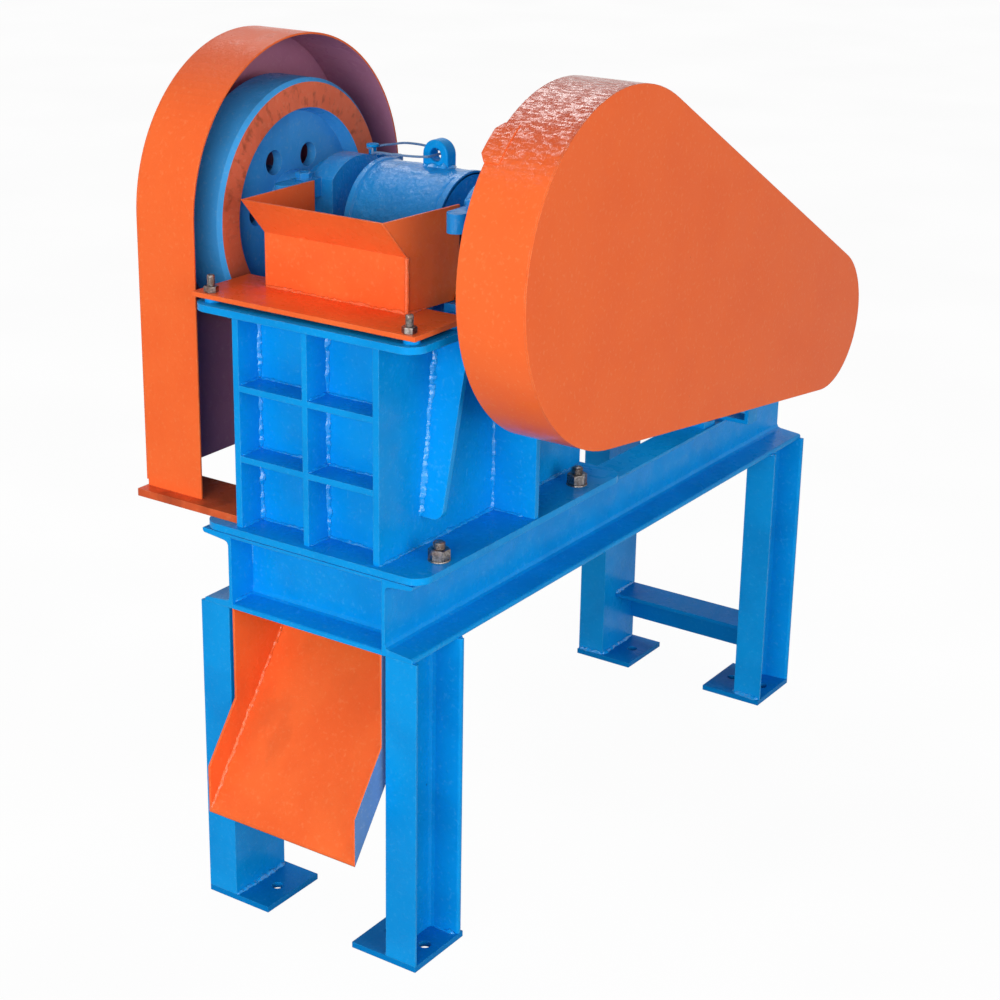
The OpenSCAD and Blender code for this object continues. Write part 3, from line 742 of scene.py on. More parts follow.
@dataclass(frozen=True)
class PaleFloor(Finish):
    """Smooth pale studio floor that keeps the object's shadow and fades to white."""

    name: str = "pale floor"

    def fill(self, shader: Shader) -> None:
        """Wires the floor: nearly all glow where it is seen, matt grey for the light that it throws back.

        Args:
            shader: The material in the making.
        """
        glow = shader.node("Emission", [WHITE, shader.patches(700, 0.3, 0.7, 1.065, 1.08, detail=2)])
        matt = shader.node("BsdfDiffuse", {"Color": (0.3, 0.3, 0.3, 1)})
        share = shader.overlap(shader.seen(), 0.9)
        shader.node("OutputMaterial", {"Surface": shader.node("MixShader", [share, matt, glow])})


class Paints:
    """Every material of the object, made once."""

    def __init__(self, axis: tuple[float, float]) -> None:
        """Makes the materials.

        Args:
            axis: Y and Z of the shaft, round which the guards and the wheel are painted.
        """
        # Rolled and brushed enamels: even gloss with clouds where the coat is thick.
        self.blue = Enamel("blue enamel on rolled steel", BLUE_COAT).build()
        # Painted shade: a darker blue for the foot plates and the brace.
        self.blue_shaded_low = Enamel("blue enamel with painted shade near the floor", SHADED_LOW_COAT, gloss=0.03).build()
        self.wire = Enamel("thin blue enamel on zinc wire", WIRE_COAT, 0.35).build()
        self.orange = Enamel("orange enamel on sheet", ORANGE_COAT, stain=0.12).build()
        # Painted shade under the hoop, with stains, on the hoop's feet.
        self.orange_foot = Enamel("stained orange enamel with painted shade on plate", STAINED_SHADED_COAT, 0.3, stain=0.6).build()
        # Sand-cast iron under enamel: lumpy, with dirt in its hollows.
        self.blue_cast = Enamel("blue enamel on rough casting", CAST_COAT, roughness=0.2, peel=0.5, wave=0.7,
                                lump=1.2, stain=0.25, gloss=0.2).build()
        # Weld beads take paint smoothly, and their ripples glint.
        self.blue_weld = Enamel("blue enamel on weld bead", BLUE_COAT, roughness=0.16, peel=0.3, wave=0.2,
                                lump=0.9, gloss=0.6).build()
        self.orange_weld = Enamel("orange enamel on weld bead", ORANGE_COAT, roughness=0.2, peel=0.2,
                                  wave=0.2, lump=0.7, gloss=0.4).build()
        # Thick wet coats on the guards' crowns, which shine in streaks on the belt guard; the crowns' darker
        # red is painted shade.
        self.guard = GuardEnamel("stippled orange enamel on guard sheet", ORANGE_COAT, 0.12, gloss=0.05,
                                 cloud=0.2, top_gloss=1.0, crown_shade_share=0.75, streak=0.9, axis=axis).build()
        self.hoop = GuardEnamel("orange enamel on flywheel guard sheet", ORANGE_COAT, 0.3, 0.06, gloss=0.06,
                                cloud=0.3, top_gloss=0.1, axis=axis).build()
        # The chute's outer faces take the paler, greyer blue.
        self.chute = ChuteEnamel("two-colour enamel on chute sheet", ORANGE_COAT, stain=0.2,
                                 second=PALE_GREY_BLUE_COAT).build()
        self.wheel = WheelEnamel("two-colour enamel on flywheel", DUSTY_COAT, stain=0.3, axis=axis).build()
        # Zinc-plated fasteners, dulled to a brownish grey.
        self.zinc = Steel("zinc-plated fastener steel", "#9A9490", "#625C58", "#6E4A3A", 0.34, 0.5,
                          3.0).build()
        # A ground shaft, with fine marks that run round it.
        self.shaft = Steel("ground shaft steel", "#C9CBCC", "#96999B", "#6B5646", 0.25, 0.15, 1.6,
                           (1, 12, 12)).build()
        # Cast manganese steel, matt and rusty where rock hasn't polished it.
        self.jaw = Steel("cast manganese steel", "#8C8883", "#5B5752", "#6E452E", 0.55, 0.7, 5.0,
                         depth=0.3).build()
        # A turned iron pulley, with a dull grey skin.
        self.pulley = Steel("turned cast iron", "#A2A4A4", "#6D6F70", "#6B4A38", 0.38, 0.4, 2.0,
                            (10, 1, 1)).build()
        self.belt = BeltRubber().build()


# ---------------------------------------------------------------- small parts


@dataclass(frozen=True)
class Weld:
    """A fillet weld in an inside corner, laid by hand in overlapping ripples.

    Attributes:
        start: Where it starts, in the corner.
        end: Where it ends.
        wall_1: Which way one wall runs from the corner.
        wall_2: Which way the other wall runs.
        leg: Length of a leg on either wall, in millimetres.
        pitch: Length of a ripple.
        step: Distance between two rings of its mesh.
        root: How deep it reaches into the corner.
    """

    start: Spot
    end: Spot
    wall_1: Spot
    wall_2: Spot
    leg: float = 5.0
    pitch: float = 4.0
    step: float = 1.7
    root: float = 0.6

    def add_to(self, shape: Shape, seed: int) -> None:
        """Adds the bead to a shape.

        Args:
            shape: Where the bead goes.
            seed: Makes each bead's waver different.
        """
        start, wall_1, wall_2 = Vector(self.start), Vector(self.wall_1), Vector(self.wall_2)
        run = Vector(self.end) - start
        length = run.length
        steps = max(4, int(length / self.step))
        rings = []
        for k in range(steps + 1):
            s = length * k / steps
            waver = noise.noise(Vector((s * 0.05, seed * 3.7, 0.5)))
            blob = noise.noise(Vector((s * 0.17, seed * 2.9, 3.5)))
            drift = 0.9 * noise.noise(Vector((s * 0.11, seed * 1.3, 7.1)))
            ripple = 0.06 * math.sin(2 * math.pi * s / self.pitch + 5 * waver)
            # Both ends run out over one leg's length.
            tail = math.sqrt(max(0.02, min(1.0, s / self.leg, (length - s) / self.leg)))
            leg = self.leg * max(0.35, 0.86 + ripple + 0.5 * waver + 0.45 * blob) * tail
            at = start + run * (k / steps)
            ring = [at - self.root * (wall_1 + wall_2)]
            for t in (0.0, 0.25, 0.5, 0.75, 1.0):
                a = t * math.pi / 2
                reach = leg * (1 - 0.2 * math.sin(2 * a)) * (1 + drift * (t - 0.5))
                ring.append(at + reach * (math.cos(a) * wall_1 + math.sin(a) * wall_2))
            rings.append(ring)
        shape.rings(rings)


def weld_piece(name: str, welds: Sequence[Weld], paint: bpy.types.Material, slot: Slot,
               body: str = FRAME_BODY) -> bpy.types.Object:
    """Makes one piece of several welds.

    Args:
        name: Name of the piece.
        welds: Its beads.
        paint: Its material.
        slot: The record's slot.
        body: The CAD body it rides on.

    Returns:
        The piece.
    """
    shape = Shape()
    for number, weld in enumerate(welds):
        weld.add_to(shape, number + len(name))
    return put(name, shape, paint, slot, body)


@dataclass(frozen=True)
class Fastener:
    """A metric nut or bolt head with its washer and the thread that stands out of it.

    Attributes:
        thread: Diameter of the thread, in millimetres.
        flats: Width across the flats.
        height: Height of the hexagon.
        pitch: Pitch of the thread.
        stub: How far the thread stands out of the nut, or 0 on a screw.
        washer: True where a washer lies under it.
    """

    thread: float
    flats: float
    height: float
    pitch: float
    stub: float
    washer: bool = True

    def shape(self) -> Shape:
        """Builds it standing on z = 0, with its axis along Z.

        Returns:
            The shape.
        """
        made, base = Shape(), 0.0
        if self.washer:
            base, outer, inner = self.thread * 0.12, self.thread * 0.9, self.thread * 0.53
            made.turned([(inner, 0), (outer, 0), (outer, base * 0.7), (outer - 0.4, base), (inner, base)], 40)
        self.add_hexagon(made, base)
        if self.stub:
            top, core, rim = base + self.height + self.stub, self.thread * 0.43, self.thread * 0.5
            profile = [(0.01, base), (core, base)]
            z = base + self.height - self.pitch
            while z < top - self.pitch * 1.4:
                profile += [(core, z), (rim, z + self.pitch * 0.45), (rim, z + self.pitch * 0.55)]
                z += self.pitch
            profile += [(core, top - self.pitch * 0.3), (core * 0.86, top), (0.01, top)]
            made.turned(profile, 28)
        return made

    def add_hexagon(self, shape: Shape, base: float) -> None:
        """Adds the hexagon, chamfered at 30 degrees.

        Args:
            shape: Where it goes.
            base: Height that it stands at.
        """
        round_top, bore, sixth = self.flats / 2 * 0.97, self.thread * 0.49, math.pi / 3
        rings: list[list[Vector]] = [[], [], [], [], []]
        for t in circle(48):
            corner = (t + sixth / 2) % sixth - sixth / 2
            hexagon = self.flats / 2 / math.cos(corner)
            drop = (hexagon - round_top) * math.tan(math.radians(30))
            aim = Vector((math.cos(t), math.sin(t), 0))
            section = ((bore, 0), (hexagon, drop * 0.5), (hexagon, self.height - drop),
                       (round_top, self.height), (bore, self.height))
            for ring, (radius, z) in zip(rings, section):
                ring.append(aim * radius + Vector((0, 0, base + z)))
        shape.rings(rings, closed=True)


M16_NUT = Fastener(15.5, 24, 13.5, 2.0, 9)
M10_NUT = Fastener(10, 16, 8, 1.5, 14, washer=False)
M12_SCREW = Fastener(12, 19, 7.5, 1.75, 0)
M8_SCREW = Fastener(8, 13, 5.3, 1.25, 0)


def fasten(name: str, kind: Fastener, spots: Sequence[Spot], axis: Vector, paint: bpy.types.Material,
           slot: Slot = Slot.STEEL) -> bpy.types.Object:
    """Sets a row of equal fasteners on the frame, each turned differently.

    Args:
        name: Name of the piece.
        kind: The fastener.
        spots: Points on the surface where they stand.
        axis: The way they point.
        paint: Their material.
        slot: The record's slot.

    Returns:
        The piece.
    """
    whole, one = Shape(), kind.shape()
    for number, spot in enumerate(spots):
        # A spanner leaves each one at its own angle.
        whole.join(one, axis_place(spot, axis, 17 + 41 * number))
    return put(name, whole, paint, slot)


# ---------------------------------------------------------------- sub-assemblies


@dataclass
class Stand:
    """Welded channel stand with its foot plates and brace.

    Attributes:
        paints: The materials.
        web: Thickness of the channel's web, in millimetres.
        flange: Thickness of its flanges.
        channel_b: Width of its flanges.
        post_web: Distance of a post's web from the middle of the stand.
        cross_run: Length of the welds along a cross channel's flange.
    """

    paints: Paints
    web: float = 4.5
    flange: float = 7.6
    channel_b: float = 46.0
    post_web: float = 124.0
    cross_run: float = 40.0

    def build(self) -> None:
        """Dresses the stand and lays its welds."""
        dress(self.paints.blue, "beam_left", "beam_right", "beam_front", "beam_rear", "posts_front",
              "posts_rear")
        # Painted shade: the foot plates and the brace take the darker blue.
        dress(self.paints.blue_shaded_low, "foot_plates", "rear_brace")
        weld_piece("stand_welds", self.cross_welds() + self.post_welds() + self.brace_welds(),
                   self.paints.blue_weld, Slot.BLUE)

    def cross_welds(self) -> list[Weld]:
        """Plans the welds between the long beams and the cross channels.

        Returns:
            The welds.
        """
        cross, found = CadBox.of("beam_front"), []
        low, high = cross.low.z + self.flange, cross.high.z - self.flange
        for side in SIDES:
            x, inward = side * cross.high.x, (-side, 0, 0)
            for end in SIDES:
                y = end * (abs(cross.low.y) - self.channel_b)
                found += [Weld((x, y, low), (x, y, high), inward, (0, end, 0), 4.5),
                          Weld((x, y, low), (x, y + end * self.cross_run, low), inward, Z_AXIS, 4)]
        return found

    def post_welds(self) -> list[Weld]:
        """Plans the welds round the posts, at the beams and at the foot plates.

        Returns:
            The welds.
        """
        post, plate, found = CadBox.of("posts_front"), CadBox.of("foot_plates"), []
        for side in SIDES:
            for end in SIDES:
                y_out, y_in = end * abs(post.low.y), end * abs(post.high.y)
                web, lip = side * self.post_web, side * (post.high.x - 2)
                for z, rise in ((plate.high.z, Z_AXIS), (post.high.z, -Z_AXIS)):
                    found += [Weld((web, y_in, z), (web, y_out, z), (-side, 0, 0), rise, 4.5),
                              Weld((web, y_in, z), (lip, y_in, z), (0, -end, 0), rise, 4)]
                y, z = y_in + end * self.flange, plate.high.z
                found.append(Weld((web + side * self.web, y, z), (side * (post.high.x - 4), y, z),
                                  (0, end, 0), Z_AXIS, 3.5))
        return found

    def brace_welds(self) -> list[Weld]:
        """Plans the welds at both ends of the angle brace.

        Returns:
            The welds.
        """
        low, high = CadBox.of("rear_brace").low, CadBox.of("rear_brace").high
        found = []
        for side in SIDES:
            x, inward = side * high.x, (-side, 0, 0)
            found += [Weld((x, low.y, high.z), (x, high.y, high.z), inward, Z_AXIS, 4),
                      Weld((x, high.y, low.z), (x, high.y, high.z), inward, Y_AXIS, 3)]
        return found


@dataclass
class Body:
    """Crusher body: flanges, side plates, front wall with its cells, gussets and toggle block.

    Attributes:
        paints: The materials.
        rib: Thickness of a rib, in millimetres.
        gusset_foot: Distance of the gusset's foot behind the front of the side plate.
        gusset_lift: Height of that foot above the bottom of the side plate.
        gusset_short: How much less high the gusset is than the side plate.
        gusset_lean: Lean of the gusset, in degrees.
        flange_run: Where the weld under the top flange starts and ends, behind the front.
        upright: Distance of the upright rib behind the front.
        upright_w: How far that rib stands out of the side plate.
        nuts: X and distance behind the front of the nuts on the base flange.
    """

    paints: Paints
    rib: float = 8.0
    gusset_foot: float = 88.0
    gusset_lift: float = 38.0
    gusset_short: float = 40.0
    gusset_lean: float = 7.4
    flange_run: tuple[float, float] = (20.0, 325.0)
    upright: float = 241.0
    upright_w: float = 47.0
    nuts: tuple[tuple[float, float], ...] = ((150, 392), (156, 69), (-137, 230))

    def build(self) -> None:
        """Dresses the body, lays its welds and bolts it down."""
        dress(self.paints.blue, "base_flange", "side_plate_left", "side_plate_right", "front_wall",
              "front_ribs", "side_ribs", "top_flange")
        dress(self.paints.blue_cast, "toggle_block")
        weld_piece("cell_welds", self.cell_welds(), self.paints.blue_weld, Slot.BLUE)
        weld_piece("side_welds", self.side_welds(), self.paints.blue_weld, Slot.BLUE)
        base = CadBox.of("base_flange")
        fasten("base_nuts", M16_NUT, [(x, base.low.y + y, base.high.z) for x, y in self.nuts], Z_AXIS,
               self.paints.zinc)

    def cell_welds(self) -> list[Weld]:
        """Plans the welds in the six cells between the front ribs.

        Returns:
            The welds.
        """
        wall, inner = CadBox.of("front_wall"), CadBox.of("side_plate_right").low.x
        rib_y, found, rows = CadBox.of("front_ribs").low.y + 3, [], 3
        y, low, high, half, out = wall.low.y, wall.low.z, wall.high.z, self.rib / 2, -Y_AXIS
        for row in range(rows):
            z0 = low + row * ((high - low) / rows) + (half if row else 0)
            z1 = low + (row + 1) * ((high - low) / rows) - (half if row < rows - 1 else 0)
            found += [Weld((x, y, z0), (x, y, z1), push, out, 4.2)
                      for x, push in ((-inner, X_AXIS), (half, X_AXIS), (inner, -X_AXIS), (-half, -X_AXIS))]
            for x0, x1 in ((-inner, -half), (half, inner)):
                found += [Weld((x0, y, z0), (x1, y, z0), Z_AXIS, out, 2.6),
                          Weld((x0, rib_y, z0), (x0, y, z0), X_AXIS, Z_AXIS, 2.6)]
        return found

    def side_welds(self) -> list[Weld]:
        """Plans the welds along the side plates, the gussets and the upright ribs.

        Returns:
            The welds.
        """
        side, found = CadBox.of("side_plate_right"), []
        x, front, z0, z1 = side.high.x, side.low.y, side.low.z, side.high.z
        foot, foot_z = front + self.gusset_foot - self.rib / 2, z0 + self.gusset_lift
        rise, post = z1 - z0 - self.gusset_short, front + self.upright
        run_0, run_1 = (front + y for y in self.flange_run)
        head = foot + rise * math.tan(math.radians(self.gusset_lean))
        for hand in SIDES:
            out, face = (hand, 0, 0), hand * x
            found += [Weld((face, front, z0), (face, side.high.y, z0), out, Z_AXIS, 3.4),
                      Weld((face, run_0, z1), (face, run_1, z1), out, -Z_AXIS, 4),
                      Weld((face, foot, foot_z), (face, head, foot_z + rise), -Y_AXIS, out, 5.2)]
            for y, push in ((post, -Y_AXIS), (post + self.rib, Y_AXIS)):
                found += [Weld((face, y, z0), (face, y, z1), push, out, 3.4),
                          Weld((face, y, z0), (hand * (x + self.upright_w), y, z0), push, Z_AXIS, 3)]
        return found


@dataclass
class JawAndShaft:
    """Swing jaw with its cast head and lug, the fixed jaw, the shaft and both bearing housings.

    Attributes:
        paints: The materials.
        axis_y: Y of the shaft, in millimetres.
        axis_z: Z of the shaft.
        throw: Throw of the eccentric.
        head_r: Radius of the jaw head.
        head_x: Half its length.
        skin_arc: Where the head's skin starts and ends, in degrees from the rear.
        skin_steps: Steps of the skin along the head and round it.
        skin_sunk: How deep the skin's inner side lies in the head.
        skin_rise: How far the skin stands out of the head.
        lump_rise: Height of its lumps.
        collar_w: Width of the collar at each end.
        collar_rise: How far the collar stands out.
        collar_lump: Height of the collar's lumps.
        groove_w: Width of the groove beside the collar.
        groove_rise: How far the groove's bottom stands out.
        eye_r: Radius of the lug's eye.
        foot_t: Thickness of a housing's foot.
        cover_r: Radius of the circle of cover screws.
        feet: X of the foot bolts, and their distance in front of and behind the shaft.
        caps: X of the cap bolts, that distance, and their height above the shaft.
    """

    paints: Paints
    axis_y: float
    axis_z: float
    throw: float = 5.0
    head_r: float = 76.0
    head_x: float = 70.0
    skin_arc: tuple[float, float] = (-32.0, 212.0)
    skin_steps: tuple[int, int] = (56, 120)
    skin_sunk: float = 2.0
    skin_rise: float = 0.9
    lump_rise: float = 0.9
    collar_w: float = 9.0
    collar_rise: float = 2.6
    collar_lump: float = 0.35
    groove_w: float = 2.5
    groove_rise: float = 0.15
    eye_r: float = 8.0
    foot_t: float = 10.0
    cover_r: float = 56.0
    feet: tuple[float, float] = (116.0, 78.0)
    caps: tuple[float, float, float] = (130.0, 76.0, 57.0)

    def build(self) -> None:
        """Dresses the jaws, bearings and wire, and adds the cast head, the lug and the screws."""
        dress(self.paints.blue_cast, "swing_jaw", "housing_left", "housing_right")
        dress(self.paints.jaw, "swing_jaw_plate", "fixed_jaw_plate", "toggle_plate")
        dress(self.paints.shaft, "eccentric_shaft")
        dress(self.paints.blue, "wire_stud")
        dress(self.paints.wire, "lifting_wire")
        self.head_skin()
        self.lug()
        self.housing_screws()

    def skin_radius(self, x: float, lumps: float) -> float:
        """Gives the radius of the head's skin, which has a collar and a groove at each end.

        Args:
            x: Distance along the head from its middle.
            lumps: Noise of the casting's lumps there, about -1 to 1.

        Returns:
            The radius.
        """
        if abs(x) > self.head_x - self.collar_w:
            return self.head_r + self.collar_rise + self.collar_lump * lumps
        if abs(x) > self.head_x - self.collar_w - self.groove_w:
            return self.head_r + self.groove_rise
        return self.head_r + self.skin_rise + self.lump_rise * lumps

    def head_skin(self) -> None:
        """Adds the lumpy cast skin of the jaw head, open where the jaw hangs from it."""
        shape, centre_y, rings = Shape(), self.axis_y + self.throw, []
        (along, around), (low, high) = self.skin_steps, (math.radians(end) for end in self.skin_arc)
        for i in range(along + 1):
            x = -self.head_x + 2 * self.head_x * i / along
            middle, outer, inner = Vector((x, centre_y, self.axis_z)), [], []
            for k in range(around + 1):
                t = low + (high - low) * k / around
                aim = Vector((0, math.cos(t), math.sin(t)))
                lumps = noise.fractal(Vector((x * 0.05, math.cos(t) * 3.2, math.sin(t) * 3.2)), 0.9, 2.1, 4)
                outer.append(middle + aim * self.skin_radius(x, lumps))
                inner.append(middle + aim * (self.head_r - self.skin_sunk))
            rings.append(outer + inner[::-1])
        shape.rings(rings)
        put("jaw_head_casting", shape, self.paints.blue_cast, Slot.BLUE, JAW_BODY)

    def lug(self) -> None:
        """Rebuilds the lug with rounded edges and a weld round its foot."""
        box = CadBox.of("lifting_lug")
        low, high = box.low, box.high
        radius = (high.x - low.x) / 2
        eye = Vector((box.mid.x, 0, high.z - radius))
        outer, bore = [], []
        for t in circle(48):
            c, s = math.cos(t), math.sin(t)
            reach = radius if s >= 0 else min(radius / max(abs(c), 1e-6), (eye.z - low.z) / abs(s))
            outer.append(eye + Vector((c * reach, 0, s * reach)))
            bore.append(eye + Vector((c * self.eye_r, 0, s * self.eye_r)))
        shape, edges = Shape(), ((outer, low.y), (outer, high.y), (bore, high.y), (bore, low.y))
        shape.rings([[p + Y_AXIS * y for p in edge] for edge, y in edges], closed=True)
        put("lug_forged", shape, self.paints.blue, Slot.BLUE, JAW_BODY, 2.5, ["lifting_lug"])
        z = self.axis_z + self.head_r - 0.6
        welds = [Weld((low.x, y, z), (high.x, y, z), push, Z_AXIS)
                 for y, push in ((low.y, -Y_AXIS), (high.y, Y_AXIS))]
        welds += [Weld((x, low.y, z), (x, high.y, z), push, Z_AXIS)
                  for x, push in ((low.x, -X_AXIS), (high.x, X_AXIS))]
        weld_piece("lug_welds", welds, self.paints.blue_weld, Slot.BLUE, JAW_BODY)

    def housing_screws(self) -> None:
        """Adds the cover screws, the foot bolts and the cap bolts of each housing."""
        (foot_x, foot_y), (cap_x, cap_y, cap_z) = self.feet, self.caps
        for node_name, hand in (("housing_left", -1), ("housing_right", 1)):
            box = CadBox.of(node_name)
            end = box.low.x if hand < 0 else box.high.x
            ring = [(end, self.axis_y + self.cover_r * math.cos(t), self.axis_z + self.cover_r * math.sin(t))
                    for t in (math.radians(60 * k + 30) for k in range(6))]
            feet, caps = ([(hand * x, self.axis_y + side * y, z) for side in SIDES]
                          for x, y, z in ((foot_x, foot_y, box.low.z + self.foot_t),
                                          (cap_x, cap_y, self.axis_z + cap_z)))
            fasten(f"{node_name}_cover_screws", M8_SCREW, ring, Vector((hand, 0, 0)), self.paints.blue,
                   Slot.BLUE)
            fasten(f"{node_name}_foot_bolts", M12_SCREW, feet, Z_AXIS, self.paints.zinc)
            fasten(f"{node_name}_cap_bolts", M12_SCREW, caps, Z_AXIS, self.paints.blue_cast, Slot.BLUE)


@dataclass
class Flywheel:
    """Flywheel with its painted rim."""

    paints: Paints

    def build(self) -> None:
        """Dresses the wheel."""
        dress(self.paints.wheel, "flywheel")


@dataclass
class Hopper:
    """Feed hopper on its base plate.

    Attributes:
        paints: The materials.
        sheet: Thickness of the sheet, in millimetres.
        fold: Height of the fold in the front wall.
        splay: How far the right wall opens out towards the jaw, in degrees.
        nut_x: X of the nuts.
        nut_y: Distance of the nuts behind the front of the base plate.
    """

    paints: Paints
    sheet: float = 3.0
    fold: float = 68.0
    splay: float = 5.0
    nut_x: tuple[float, float] = (-153.0, 146.0)
    nut_y: float = 12.0

    def side_x(self, y: float) -> float:
        """Gives X of the right side's outer face, which opens out towards the jaw."""
        corner = CadBox.of("hopper_sides").high
        return corner.x - (corner.y - y) * math.tan(math.radians(self.splay))

    def build(self) -> None:
        """Dresses the hopper and adds its welds and nuts."""
        dress(self.paints.orange, "hopper_plate", "hopper_front", "hopper_sides")
        dress(self.paints.blue, "hopper_spacers")
        plate, front, sides = (CadBox.of(n) for n in ("hopper_plate", "hopper_front", "hopper_sides"))
        top, y = plate.high.z, front.high.y - self.sheet
        x0, x1, rear = sides.low.x, self.side_x(y), plate.high.y
        splay = math.radians(self.splay)
        welds = [Weld((x0, y, top), (x1, y, top), -Y_AXIS, Z_AXIS, 3.2),
                 Weld((x1, y, top), (self.side_x(rear), rear, top), (math.cos(splay), -math.sin(splay), 0),
                      Z_AXIS, 3),
                 Weld((x0, y, top), (x0, rear, top), -X_AXIS, Z_AXIS, 3)]
        weld_piece("hopper_welds", welds, self.paints.orange_weld, Slot.ORANGE)
        fasten("hopper_nuts", M10_NUT, [(x, plate.low.y + self.nut_y, top) for x in self.nut_x], Z_AXIS,
               self.paints.zinc)
        foot = Vector((x1 - 0.5, y, top))
        self.corner_bead(foot, foot + Z_AXIS * self.fold,
                         Vector((self.side_x(front.low.y) - 0.5, front.low.y, front.high.z)))

    def corner_bead(self, foot: Vector, fold: Vector, lip: Vector) -> None:
        """Lays the bead up the front right corner and out along the flare.

        Args:
            foot: Foot of the corner.
            fold: Where the front folds outwards.
            lip: Top of the flare.
        """
        shape = Shape()
        for start, end, size in ((foot + Z_AXIS, fold, 2.8), (fold, lip, 1.3)):
            run, steps = end - start, int((end - start).length / 2)
            for k in range(steps):
                a, b = start + run * (k / steps), start + run * ((k + 1) / steps)
                shape.rod(a, b, size * (1 + 0.45 * noise.noise(a * 0.09)))
        put("hopper_corner_bead", shape, self.paints.orange_weld, Slot.ORANGE)


@dataclass
class Guards:
    """Sheet guards over the flywheel and the belts.

    Attributes:
        paints: The materials.
        shaft: Middle of the flywheel, on the shaft's axis.
        lap_from: Where the lap starts, in degrees above the front.
        lap_turn: Degrees that each step of it takes.
        lap_steps: Its steps.
        lap_out: How far it stands out of the band's edge, in millimetres.
        lap_in: How far it runs on inside the band.
        lap_skin: How far it lies inside the band's outer face, and outside it.
    """

    paints: Paints
    shaft: Vector
    lap_from: float = 41.0
    lap_turn: float = 0.95
    lap_steps: int = 16
    lap_out: float = 8.0
    lap_in: float = 20.0
    lap_skin: tuple[float, float] = (2.5, 1.2)

    def build(self) -> None:
        """Dresses the guards and adds the lap of sheet."""
        dress(self.paints.guard, "belt_guard_band", "belt_guard_face")
        dress(self.paints.hoop, "flywheel_guard_band", "flywheel_guard_side")
        # The hoop's feet take the darker orange: painted shade, with stains.
        dress(self.paints.orange_foot, "flywheel_guard_feet")
        dress(self.paints.blue, "belt_guard_brackets")
        self.lap()

    def lap(self) -> None:
        """Adds the lap of sheet that stands out of the belt guard's back edge."""
        band, shape = CadBox.of("belt_guard_band"), Shape()
        radius = self.shaft.y - band.low.y
        middle, rings = Vector((0, self.shaft.y, band.high.z - radius)), []
        back, (under, over) = band.low.x + self.lap_in, self.lap_skin
        for k in range(self.lap_steps + 1):
            t = math.radians(self.lap_from + k * self.lap_turn)
            aim = Vector((0, -math.cos(t), math.sin(t)))
            out = band.low.x - (self.lap_out * min(1.0, k / 3, (self.lap_steps - k) / 3) + 1)
            rings.append([middle + aim * (radius + r) + X_AXIS * x
                          for x, r in ((out, -under), (back, -under), (back, over), (out, over))])
        shape.rings(rings)
        put("belt_guard_lap", shape, self.paints.guard, Slot.ORANGE, chamfer=0.6)


@dataclass
class BeltDrive:
    """Pulleys and V-belts.

    Attributes:
        paints: The materials.
        big: Y and Z of the crusher pulley, in millimetres.
        small: Y and Z of the motor pulley.
        big_r: Radius of a belt's back round the crusher pulley.
        small_r: The same round the motor pulley.
        pitch: Distance between two belts.
        count: Number of belts.
        back_half: Half a belt's width at its back.
        foot_half: Half its width at its foot.
        bevel: Width and depth of the bevel on the back's edges.
        depth: Depth of a belt.
    """

    paints: Paints
    big: tuple[float, float]
    small: tuple[float, float]
    big_r: float = 160.0
    small_r: float = 64.0
    pitch: float = 19.0
    count: int = 3
    back_half: float = 8.2
    foot_half: float = 5.9
    bevel: tuple[float, float] = (0.6, 0.8)
    depth: float = 9.6

    def build(self) -> None:
        """Dresses the pulleys and builds the belts."""
        dress(self.paints.blue, "crusher_pulley")
        dress(self.paints.pulley, "motor_pulley")
        belts, first = Shape(), CadBox.of("v_belts").low.x + self.foot_half
        for number in range(self.count):
            self.add_belt(belts, first + number * self.pitch)
        put("v_belts_wrapped", belts, self.paints.belt, Slot.RUBBER, stands_for=["v_belts"])

    def route(self) -> list[tuple[Vector, Vector]]:
        """Gives the route of a belt's back: round both pulleys, and straight between them.

        Returns:
            Points of the back, each with its outward direction.
        """
        run = Vector((0, self.small[0] - self.big[0], self.small[1] - self.big[1]))
        tilt = math.atan2(run.z, run.y)
        lead = math.acos((self.big_r - self.small_r) / run.length)
        stops = []
        for (y, z), radius, start, end in ((self.big, self.big_r, tilt + lead, tilt - lead + 2 * math.pi),
                                           (self.small, self.small_r, tilt - lead, tilt + lead)):
            steps = max(12, int(abs(end - start) / math.radians(4)))
            for k in range(steps + 1):
                t = start + (end - start) * k / steps
                aim = Vector((0, math.cos(t), math.sin(t)))
                stops.append((Vector((0, y, z)) + aim * radius, aim))
        return stops

    def add_belt(self, shape: Shape, x: float) -> None:
        """Adds one wedge-section belt.

        Args:
            shape: Where the belt goes.
            x: Middle of the belt.
        """
        across, down = self.bevel
        section = ((-self.back_half, -down), (across - self.back_half, 0), (self.back_half - across, 0),
                   (self.back_half, -down), (self.foot_half, -self.depth), (-self.foot_half, -self.depth))
        shape.rings([[point + Vector((x, 0, 0)) + X_AXIS * w + aim * d for w, d in section]
                     for point, aim in self.route()], closed=True)


@dataclass
class Motor:
    """Foot-mounted motor on two channel bars."""

    paints: Paints

    def build(self) -> None:
        """Dresses the motor."""
        dress(self.paints.blue, "motor_frame", "motor_fan_cover", "motor_terminal_box", "motor_bars")


